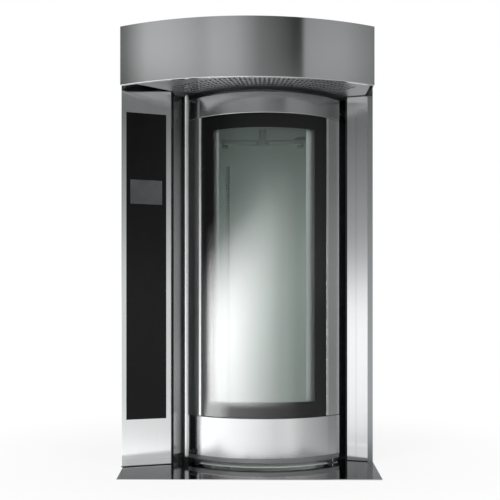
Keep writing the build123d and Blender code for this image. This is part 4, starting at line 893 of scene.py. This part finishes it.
class OVEN_OT_canopy(bpy.types.Operator):
    """Roll the canopy's front and fold the sheets at its sides"""

    bl_idname = "oven.canopy"
    bl_label = "Canopy"

    def execute(self, context):
        low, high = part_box("canopy_fascia")
        edge = CANOPY_HALF_WIDTH
        bulge = CANOPY_CORNER_Y - low.y
        radius = (edge**2 + bulge**2) / (2 * bulge)
        centre = (0.0, low.y + radius)
        half_angle = degrees(asin(edge / radius))
        lip = 0.016
        section = [(radius - lip, low.z), (radius, low.z), (radius, high.z)]
        sheet = context.scene.oven_sizes.canopy_sheet
        sweeps = [(2 * half_angle, 128)]
        front = rolled("canopy_front", section, FRONT - half_angle, sweeps, sheet, centre)
        mount(front, "oven", "canopy_steel", "canopy_fascia")

        def behind(x):
            """The point on the back of the rolled front at an x."""
            return (x, centre[1] - sqrt((radius - sheet) ** 2 - x**2))

        soffit_top = heights("hood_soffit")[1]
        roof_low = heights("roof_cover")[0]
        cover_low = heights("control_column")[1] + JOINT
        right_y = SIDE_RIGHT_Y - JOINT
        gap = 0.0026
        left_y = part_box("control_column")[0].y - gap
        # How far from the middle each side's folds are, and a point behind its sheet
        inner, outer, behind_sheet = edge - 0.02, edge - 0.0001, edge - 0.008
        right = [(inner, right_y), behind(inner), behind(outer), (edge + 0.008, right_y)]
        left = [(-inner, left_y), behind(-inner), behind(-outer), (FACE_LEFT[0], left_y)]
        cover = left + [SIDE_CORNER]
        for name, points, bottom, top, inside in (
            ("canopy_side_right", right, soffit_top, roof_low, (behind_sheet, -0.45)),
            ("canopy_side_left", left, soffit_top, cover_low, (-behind_sheet, -0.5)),
            ("canopy_cover_left", cover, cover_low, roof_low, (-behind_sheet, -0.5)),
        ):
            mount(folded(name, points, bottom, top, inside), "oven", "cabinet_stainless")
        return {"FINISHED"}


class OVEN_OT_control_column(bpy.types.Operator):
    """Fold the control column and set its glass and display"""

    bl_idname = "oven.control_column"
    bl_label = "Control column"

    def execute(self, context):
        sizes = context.scene.oven_sizes
        levels = heights("control_column")
        points = [SIDE_CORNER, FACE_LEFT, FACE_RIGHT, RETURN_END]
        column = folded("column_sheet", points, *levels, COLUMN_INSIDE)
        mount(column, "oven", "column_steel", "control_column")

        # The black strip over the column's return face is painted shade; the door's end facet
        # mirrors it as a dark band
        start, end = Vector(FACE_RIGHT), Vector(RETURN_END)
        along = (end - start).normalized()
        proud, start_gap, end_gap = 0.0016, 0.0025, 0.001
        outward = Vector((along.y, -along.x)) * proud
        ends = [start + outward + along * start_gap, end + outward - along * end_gap]
        edge = folded("column_edge_strip", ends, *levels, COLUMN_INSIDE, sizes.strip, fold=0)
        mount(edge, "oven", "black_rubber")

        # Each plate's ends along the face, its levels, how proud it is, its thickness and rounding
        low, high = 0.2527, 1.8705
        pane = ((0.0263, 0.2386), (low, high), 0.001, 0.006, sizes.pane_edge)
        seam = ((0.0253, 0.2396), (low - 0.001, high + 0.001), 0.0002, 0.003, 0.0003)
        display = ((0.0464, 0.2171), (1.39, 1.518), 0.0012, 0.0062, 0.0004)
        for name, slot, shape, nodes in (
            ("control_pane", "black_glass", pane, ["control_glass"]),
            ("control_seam", "black_rubber", seam, []),
            ("display_pane", "display_grey", display, ["display_panel"]),
        ):
            mount(face_plate(name, *shape), "oven", slot, *nodes)
        return {"FINISHED"}


class OVEN_OT_jambs(bpy.types.Operator):
    """Fold the sheets at both sides of the door"""

    bl_idname = "oven.jambs"
    bl_label = "Jambs"

    def execute(self, context):
        start = (RETURN_END[0], RETURN_END[1] + JOINT)
        corner = polar(0.539, JAMB_ANGLE)
        points = [start, corner, polar(0.502, JAMB_ANGLE)]
        jamb = folded("jamb_sheet", points, *heights("door_jamb"), JAMB_INSIDE)
        mount(jamb, "oven", "jamb_steel", "door_jamb")
        proud, bottom, top = 0.002, 0.006, 0.046
        away = Vector((corner[1] - start[1], start[0] - corner[0])).normalized() * proud
        points = [(point[0] + away.x, point[1] + away.y) for point in (start, corner)]
        skirting = folded("jamb_skirting", points, bottom, top, JAMB_INSIDE, fold=0)
        mount(skirting, "oven", "jamb_steel")

        levels = heights("pocket_column")
        x, y = POCKET_EDGE
        seam = (x + POCKET_SEAM, y + POCKET_SEAM * POCKET_SLOPE)
        outer = (x + POCKET_WIDTH, y + POCKET_WIDTH * POCKET_SLOPE)
        points = [(x + 0.03, y + 0.022), POCKET_EDGE, seam]
        first = folded("pocket_inner", points, *levels, POCKET_INSIDE)
        points = [(seam[0] + JOINT, seam[1]), outer]
        second = folded("pocket_outer", points, *levels, POCKET_INSIDE, fold=0)
        sheets = join("pocket_sheets", [first, second])
        mount(sheets, "oven", "column_steel", "pocket_column")

        near, far, right, left = 0.504, 0.548, -139.2, -143.8
        points = [polar(near, right), polar(far, right), polar(far, left), polar(near, left)]
        inside = polar(0.52, (left + right) / 2)
        post = folded("strike_sheet", points, *heights("strike_post"), inside)
        mount(post, "oven", "black_plastic", "strike_post")
        return {"FINISHED"}


class OVEN_OT_foot_seals(bpy.types.Operator):
    """Lay the black joints where the columns stand on the plate"""

    bl_idname = "oven.foot_seals"
    bl_label = "Foot seals"

    def execute(self, context):
        strip = context.scene.oven_sizes.strip
        base = heights("threshold_plate")[1]
        x, y = POCKET_EDGE
        for name, points, inside in (
            ("foot_seal_left", [SIDE_CORNER, FACE_LEFT, FACE_RIGHT], COLUMN_INSIDE),
            ("foot_seal_right", [POCKET_EDGE, (x + POCKET_WIDTH, y - 0.033)], POCKET_INSIDE),
        ):
            line = offset_line(points, strip)
            seal = folded(name, line, base, base + 0.004, inside, 1.5 * strip, fold=0)
            mount(seal, "oven", "black_rubber")
        return {"FINISHED"}


class OVEN_OT_louvre_hoods(bpy.types.Operator):
    """Press the hoods over the rear panel's louvres"""

    bl_idname = "oven.louvre_hoods"
    bl_label = "Louvre hoods"

    def execute(self, context):
        depth = context.scene.oven_sizes.hood_depth
        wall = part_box("rear_panel")[1]
        size = (0.094, 0.014, depth)
        spot = (0, 0, depth / 2)
        hood = primitive(bpy.ops.mesh.primitive_cube_add, "louvre_hood", size, spot)
        delete_faces(hood, lambda face: face.normal.z < -0.5 or face.normal.y < -0.5)
        modify(hood, "pressed corners", "BEVEL", width=depth * 0.8, segments=4)
        modify(hood, "thickness", "SOLIDIFY", thickness=0.0008)
        even_normals(hood, 40)
        pitch, rise, middle = 0.13, 0.026, wall.z - 0.15
        frames = [
            facing((pitch * column, wall.y, middle + rise * row + 0.002), (0, 1, 0))
            for column in (-2.5, -1.5, -0.5, 0.5, 1.5, 2.5)
            for row in range(-3, 4)
        ]
        mount(copies("louvre_hoods", hood, frames), "oven", "cabinet_stainless")
        bpy.data.objects.remove(hood)
        return {"FINISHED"}


class OVEN_OT_panel_screws(bpy.types.Operator):
    """Screw the side panels, the rear panel, the roof and the chamber's air panel on"""

    bl_idname = "oven.panel_screws"
    bl_label = "Panel screws"

    def execute(self, context):
        inset = 0.022
        head = screw_head(context.scene.oven_sizes.screw_radius)
        low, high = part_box("rear_panel")
        span = high.z - low.z - 2 * inset
        levels = [low.z + inset + span * step / 5 for step in range(6)]
        between = (-0.33, 0, 0.33)
        spots = [(side * (high.x - inset), level) for side in (-1, 1) for level in levels]
        spots += [(x, levels[0]) for x in between]
        panels = {"rear": [facing((x, high.y, level), (0, 1, 0)) for x, level in spots]}
        for name, side in SIDES.items():
            panel_low, panel_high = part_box("side_panel_" + name)
            front, rear = panel_low.y + 2 * inset, panel_high.y - inset
            middle = (panel_low.y + panel_high.y) / 2
            spots = [(front, level) for level in levels]
            spots += [(middle, levels[0]), (middle, levels[-1])]
            spots += [(rear, level) for level in levels]
            panels[name] = [facing((side * high.x, y, level), (side, 0, 0)) for y, level in spots]
        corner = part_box("roof_cover")[1]
        edge, rear = corner.x - inset, corner.y - inset
        spots = [(side * edge, y) for side in (-1, 1) for y in (-0.24, 0.06, 0.36, rear)]
        spots += [(x, rear) for x in between]
        spots += [(-0.6, -0.5), (-0.3, -0.62), (0, -0.655), (0.3, -0.62), (0.6, -0.5)]
        panels["roof"] = [facing((x, y, corner.z), (0, 0, 1)) for x, y in spots]
        for name, frames in panels.items():
            mount(copies("screws_" + name, head, frames), "oven", "screw_steel")
        bpy.data.objects.remove(head)

        head = screw_head(0.004)
        levels = [0.088 + 0.127 * step for step in range(14)]
        frames = []
        for angle in AIR_PANEL_ANGLES:
            spot = polar(AIR_PANEL_RADIUS, angle)
            inward = (AXIS_X - spot[0], AXIS_Y - spot[1], 0)
            frames += [facing((*spot, level), inward) for level in levels]
        mount(copies("screws_air_panel", head, frames), "oven", "screw_steel")
        bpy.data.objects.remove(head)
        return {"FINISHED"}


# The stage

# Tones of the studio's walls by the angle above the horizon
WALL_TONES = (
    (-90, 1.0), (0, 0.9), (3.7, 0.65), (7.9, 0.43), (12, 0.27), (14.3, 0.15), (15.2, 0.09),
    (15.7, 0.5), (17.2, 0.52), (18.8, 0.34), (21, 0.26), (27, 0.26), (36, 0.4), (60, 0.55),
    (90, 0.6),
)
# Tones by the angle round from the front, to the right of it above 0
STUDIO_TONES = {
    "Low": (
        (-180, 0.8), (-112, 0.75), (-95, 0.2), (-85, 1.1), (-75, 1.8), (-60, 1.8), (-30, 1.5),
        (-15, 1.35), (0, 1.15), (15, 0.95), (29, 0.98), (40, 0.75), (48, 0.6), (72, 0.4),
        (91, 0.25), (115, 0.7), (180, 0.8),
    ),
    "Middle": (
        (-180, 0.8), (-115, 0.75), (-98, 0.4), (-86, 0.4), (-82, 0.9), (-78, 0.9), (-74, 0.1),
        (-52, 0.2), (-30, 0.85), (0, 1.15), (29, 1.15), (48, 1.15), (72, 0.8), (91, 0.45),
        (112, 0.8), (180, 0.9),
    ),
    "High": (
        (-180, 0.8), (-100, 0.5), (-66, 0.5), (-59.7, 0.72), (-48.8, 2.0), (-38.9, 2.0),
        (-29.2, 1.75), (-22.2, 1.45), (-15.2, 1.75), (-5.9, 1.55), (5.7, 0.6), (17.3, 0.24),
        (22.5, 0.03), (25.5, 0.03), (26.2, 1.2), (36, 1.32), (46, 1.3), (55, 1.0), (65, 0.7),
        (110, 0.5), (180, 0.8),
    ),
}
TONE_GAIN = 2.0
# Tones of the glass card round from the front, of its foot, and upwards
CARD_ACROSS = (
    (-68, 0.0), (-64, 0.08), (-61, 0.6), (-58, 1.0), (-30, 1.0), (-4, 0.48), (17, 0.16), (36, 0.0),
)
CARD_BELOW = ((-68, 0.0), (-60, 0.5), (-50, 0.5), (-35, 0.1), (0, 0.04), (36, 0.0))
CARD_UPWARD = ((0.0, 0.85), (0.25, 1.0), (0.4, 0.85), (0.54, 0.45), (0.65, 0.08), (0.75, 0.0))
# Each foot card's right edge and strength, and the pieces that mirror it
FOOT_CARDS = (
    ("foot_card", 0.682, 0.72, ["column_sheet", "pocket_sheets", "jamb_sheet"]),
    ("band_card", -0.1, 0.4, ["door_band_bottom"]),
)
# Each strip card's ends, the piece that mirrors it, and its tones by half its height in metres
STRIP_CARDS = (
    (
        "jamb_card", ((-0.345, -0.42), (-0.345, -0.245)), "jamb_sheet",
        (
            (0.1, 0.4), (0.24, 0.55), (0.4, 0.42), (0.55, 0.38), (0.72, 0.26), (0.83, 0.16),
            (0.92, 0.06),
        ),
    ),
    (
        "trim_card", ((-0.3, -0.47), (-0.3, -0.385)), "door_trim_pair",
        (
            (0.13, 0.6), (0.25, 0.55), (0.4, 0.5), (0.55, 0.45), (0.7, 0.4), (0.84, 0.25),
            (0.92, 0.2),
        ),
    ),
    (
        "bar_card", ((-0.362, -0.44), (-0.362, -0.382)), "handle_bar_round",
        ((0.0, 0.2), (0.25, 0.3), (0.4, 0.5), (0.7, 0.6), (0.95, 0.5)),
    ),
    (
        "bar_side_card", ((-0.295, -0.4), (-0.295, -0.36)), "handle_bar_round",
        ((0.0, 0.2), (0.5, 0.28), (0.95, 0.12)),
    ),
)
LAMPS = (
    ("key_light", "key_power", (-2.4, -4.4, 3.8), (0, 0, 1.1), 2.6),
    ("fill_light", "fill_power", (3.0, -3.8, 2.8), (0, 0, 1.1), 2.6),
    ("top_light", "fill_power", (0, 0.6, 5.0), (0, 0, 1.0), 2.8),
    ("rear_light", "fill_power", (0.5, 4.6, 3.2), (0, 0.4, 1.2), 2.6),
)


def studio_tones(tree, vector):
    """The studio's tones round the object, in three rings one above the other."""
    name = "Studio tones"
    group = bpy.data.node_groups.get(name)
    if not group:
        rings = [(label, "NodeSocketColor") for label in STUDIO_TONES]
        group, source, result = new_group(name, [("Vector", "NodeSocketVector", None)], rings)
        way = axes(group, source.outputs["Vector"])
        turn = azimuth(group, way["X"], math_node(group, "MULTIPLY", way["Y"], -1))
        for label, tones in STUDIO_TONES.items():
            halved = [(angle, tone / TONE_GAIN) for angle, tone in tones]
            ramp = tone_ramp(group, turn, halved, -180, 360)
            gain = add_node(
                group, "VectorMath", {0: ramp, "Scale": TONE_GAIN}, operation="SCALE"
            )
            group.links.new(gain.outputs[0], result.inputs[label])
    node = add_node(tree, "Group", node_tree=group)
    tree.links.new(vector, node.inputs["Vector"])
    return node.outputs


def add_floor():
    """A pale floor that is white to the camera and keeps the soft shadow."""
    floor = primitive(bpy.ops.mesh.primitive_plane_add, "studio_floor", (60, 60, 1), (0, 0, 0))
    maker = MaterialMaker("Studio floor")
    tree = maker.tree
    tone = bpy.context.scene.oven_stage.floor_tone
    maker.set(Base_Color=(tone, tone, tone, 1), Roughness=0.8)
    distance = add_node(tree, "VectorMath", {0: maker.coordinates}, operation="LENGTH")
    fade = range_node(tree, distance.outputs["Value"], (0.9, 2.2), (0.86, 1.0))
    path = add_node(tree, "LightPath").outputs
    seen = math_node(tree, "MULTIPLY", path["Is Camera Ray"], fade)
    mirrored = math_node(tree, "MAXIMUM", path["Is Glossy Ray"], path["Is Transmission Ray"])
    around = studio_tones(tree, maker.coordinates)
    shown = mix_colours(tree, mirrored, (1, 1, 1, 1), around["Low"])
    glow = add_node(tree, "Emission", {"Color": shown})
    maker.blend(math_node(tree, "MAXIMUM", seen, mirrored), glow.outputs[0])
    floor.data.materials.append(maker.material)


def make_card(card, pieces):
    """Give a card a see-through glow that only a few pieces mirror. Returns its node tree."""
    material = bpy.data.materials.new(card.name.replace("_", " ").capitalize())
    material.use_nodes = True
    tree = material.node_tree
    tree.nodes.remove(tree.nodes["Principled BSDF"])
    glow, open_air = add_node(tree, "Emission"), add_node(tree, "BsdfTransparent")
    both = add_node(tree, "AddShader", {0: glow.outputs[0], 1: open_air.outputs[0]})
    tree.links.new(both.outputs[0], tree.nodes["Material Output"].inputs["Surface"])
    card.data.materials.clear()
    card.data.materials.append(material)
    for way in ("camera", "diffuse", "transmission", "volume_scatter", "shadow"):
        setattr(card, "visible_" + way, False)
    mirrors = bpy.data.collections.new(card.name + "_mirrors")
    for piece in pieces:
        mirrors.objects.link(bpy.data.objects[piece])
    card.light_linking.receiver_collection = mirrors
    return tree


def add_glass_card():
    """A bright card left of the camera, which only the door's outer pane mirrors."""
    corners = ((0.8, 0.004), (2.6, 0.03), (2.6, 1.9))
    start, sweep = FRONT - 82, 124
    card = chain("glass_card", [(*polar(radius, start), height) for radius, height in corners])
    spin_all([(sweep, 40)])
    bpy.ops.object.mode_set(mode="OBJECT")
    tree = make_card(card, ["pane_outer"])
    x, y, z = axes(tree, add_node(tree, "TexCoord").outputs["Object"])
    side = math_node(tree, "SUBTRACT", x, AXIS_X)
    turn = azimuth(tree, side, math_node(tree, "SUBTRACT", AXIS_Y, y))
    across, below = (
        tone_ramp(tree, turn, tones, -180, 360) for tones in (CARD_ACROSS, CARD_BELOW)
    )
    height = math_node(tree, "MULTIPLY_ADD", z, 0.5, -0.229)
    upward = tone_ramp(tree, math_node(tree, "MULTIPLY_ADD", x, -0.1, height), CARD_UPWARD)
    level = mix_colours(tree, 1.0, across, upward, "MULTIPLY")
    level = mix_colours(tree, range_node(tree, z, (0.06, 0.14)), below, level)
    gleam = math_node(tree, "MULTIPLY", level, bpy.context.scene.oven_stage.gleam)
    tree.links.new(gleam, tree.nodes["Emission"].inputs["Strength"])


def add_foot_cards():
    """Cards over the threshold plate, each mirrored by the pieces beside it only."""
    low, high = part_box("threshold_plate")
    for name, right, strength, pieces in FOOT_CARDS:
        spot = ((low.x + right) / 2, low.y + 0.2, high.z + 0.006)
        size = (right - low.x, 0.4, 1)
        card = primitive(bpy.ops.mesh.primitive_plane_add, name, size, spot)
        tree = make_card(card, pieces)
        tree.nodes["Emission"].inputs["Strength"].default_value = strength


def add_strip_cards():
    """Upright cards beside the handle, each mirrored by one piece only."""
    foot, rise = 0.03, 1.95
    for name, ends, piece, tones in STRIP_CARDS:
        card = chain(name, [(*end, foot) for end in ends])
        extrude((0, 0, rise))
        bpy.ops.object.mode_set(mode="OBJECT")
        tree = make_card(card, [piece])
        height = axes(tree, add_node(tree, "TexCoord").outputs["Object"])["Z"]
        level = tone_ramp(tree, math_node(tree, "MULTIPLY", height, 0.5), tones)
        tree.links.new(level, tree.nodes["Emission"].inputs["Color"])


def add_world(scene):
    """A white studio to the camera; to all else, walls that darken upwards."""
    scene.world = bpy.data.worlds.new("studio")
    scene.world.use_nodes = True
    tree = scene.world.node_tree
    towards = add_node(tree, "TexCoord").outputs["Generated"]
    around = studio_tones(tree, towards)
    rise = math_node(tree, "ARCSINE", axes(tree, towards)["Z"])
    height = math_node(tree, "MULTIPLY", rise, 180 / pi)
    part = math_node(tree, "MULTIPLY_ADD", height, 1 / 180, 0.5)
    wall = tone_ramp(tree, part, WALL_TONES, -90, 180)
    upper = range_node(tree, height, (15.0, 15.6))
    ring = mix_colours(tree, upper, around["Middle"], around["High"])
    above = mix_colours(tree, 1.0, ring, wall, "MULTIPLY")
    shade = mix_colours(tree, range_node(tree, height, (-1, 5)), around["Low"], above)
    path = add_node(tree, "LightPath").outputs
    seen = mix_colours(tree, path["Is Camera Ray"], shade, (1, 1, 1, 1))
    tree.links.new(seen, tree.nodes["Background"].inputs["Color"])


def add_lamps(scene):
    """Large soft lamps, which light the object without showing in its metal."""
    for name, power, spot, target, size in LAMPS:
        lamp = bpy.data.lights.new(name, "AREA")
        lamp.size = size
        lamp.energy = getattr(scene.oven_stage, power)
        holder = bpy.data.objects.new(name, lamp)
        scene.collection.objects.link(holder)
        holder.location = spot
        aim = Vector(target) - Vector(spot)
        holder.rotation_euler = aim.to_track_quat("-Z", "Y").to_euler()
        holder.visible_glossy = False
        holder.visible_transmission = False


def add_camera(scene):
    """The photograph's camera: level, in front of the oven, with a lens shift."""
    camera = bpy.data.cameras.new("photo_camera")
    camera.lens = 58.29
    camera.sensor_width = 36
    camera.shift_y = 0.125
    scene.camera = bpy.data.objects.new("photo_camera", camera)
    scene.collection.objects.link(scene.camera)
    scene.camera.location = (0.0136, -4.729, 0.8163)
    scene.camera.rotation_euler = (pi / 2, 0, 0)


class OVEN_OT_stage(bpy.types.Operator):
    """Set up the floor, the soft studio light and the camera"""

    bl_idname = "oven.stage"
    bl_label = "Stage"

    def execute(self, context):
        add_floor()
        add_glass_card()
        add_foot_cards()
        add_strip_cards()
        add_world(context.scene)
        add_lamps(context.scene)
        add_camera(context.scene)
        context.scene.view_settings.view_transform = "Standard"
        return {"FINISHED"}


GROUPS = {"oven_sizes": OvenSizes, "oven_colours": OvenColours, "oven_stage": OvenStage}
STEPS = (
    OVEN_OT_finishes,
    OVEN_OT_door_panels,
    OVEN_OT_door_glass,
    OVEN_OT_handle,
    OVEN_OT_canopy,
    OVEN_OT_control_column,
    OVEN_OT_jambs,
    OVEN_OT_foot_seals,
    OVEN_OT_louvre_hoods,
    OVEN_OT_panel_screws,
    OVEN_OT_stage,
)


class OVEN_PT_panel(bpy.types.Panel):
    """Lists the oven's sizes, colours and steps"""

    bl_idname = "OVEN_PT_panel"
    bl_label = "Rotating rack oven"
    bl_space_type = "VIEW_3D"
    bl_region_type = "UI"
    bl_category = "Oven"

    def draw(self, context):
        for name, group in GROUPS.items():
            box = self.layout.box()
            for label in group.__annotations__:
                box.prop(getattr(context.scene, name), label)
        column = self.layout.column()
        for step in STEPS:
            column.operator(step.bl_idname)


CLASSES = (*GROUPS.values(), *STEPS, OVEN_PT_panel)


def register():
    for cls in CLASSES:
        bpy.utils.register_class(cls)
    for name, group in GROUPS.items():
        setattr(bpy.types.Scene, name, bpy.props.PointerProperty(type=group))


def unregister():
    for name in GROUPS:
        delattr(bpy.types.Scene, name)
    for cls in reversed(CLASSES):
        bpy.utils.unregister_class(cls)


def main():
    register()
    bpy.ops.oven.finishes()
    bpy.ops.oven.door_panels()
    bpy.ops.oven.door_glass()
    bpy.ops.oven.handle()
    bpy.ops.oven.canopy()
    bpy.ops.oven.control_column()
    bpy.ops.oven.jambs()
    bpy.ops.oven.foot_seals()
    bpy.ops.oven.louvre_hoods()
    bpy.ops.oven.panel_screws()
    bpy.ops.oven.stage()


if __name__ == "__main__":
    main()
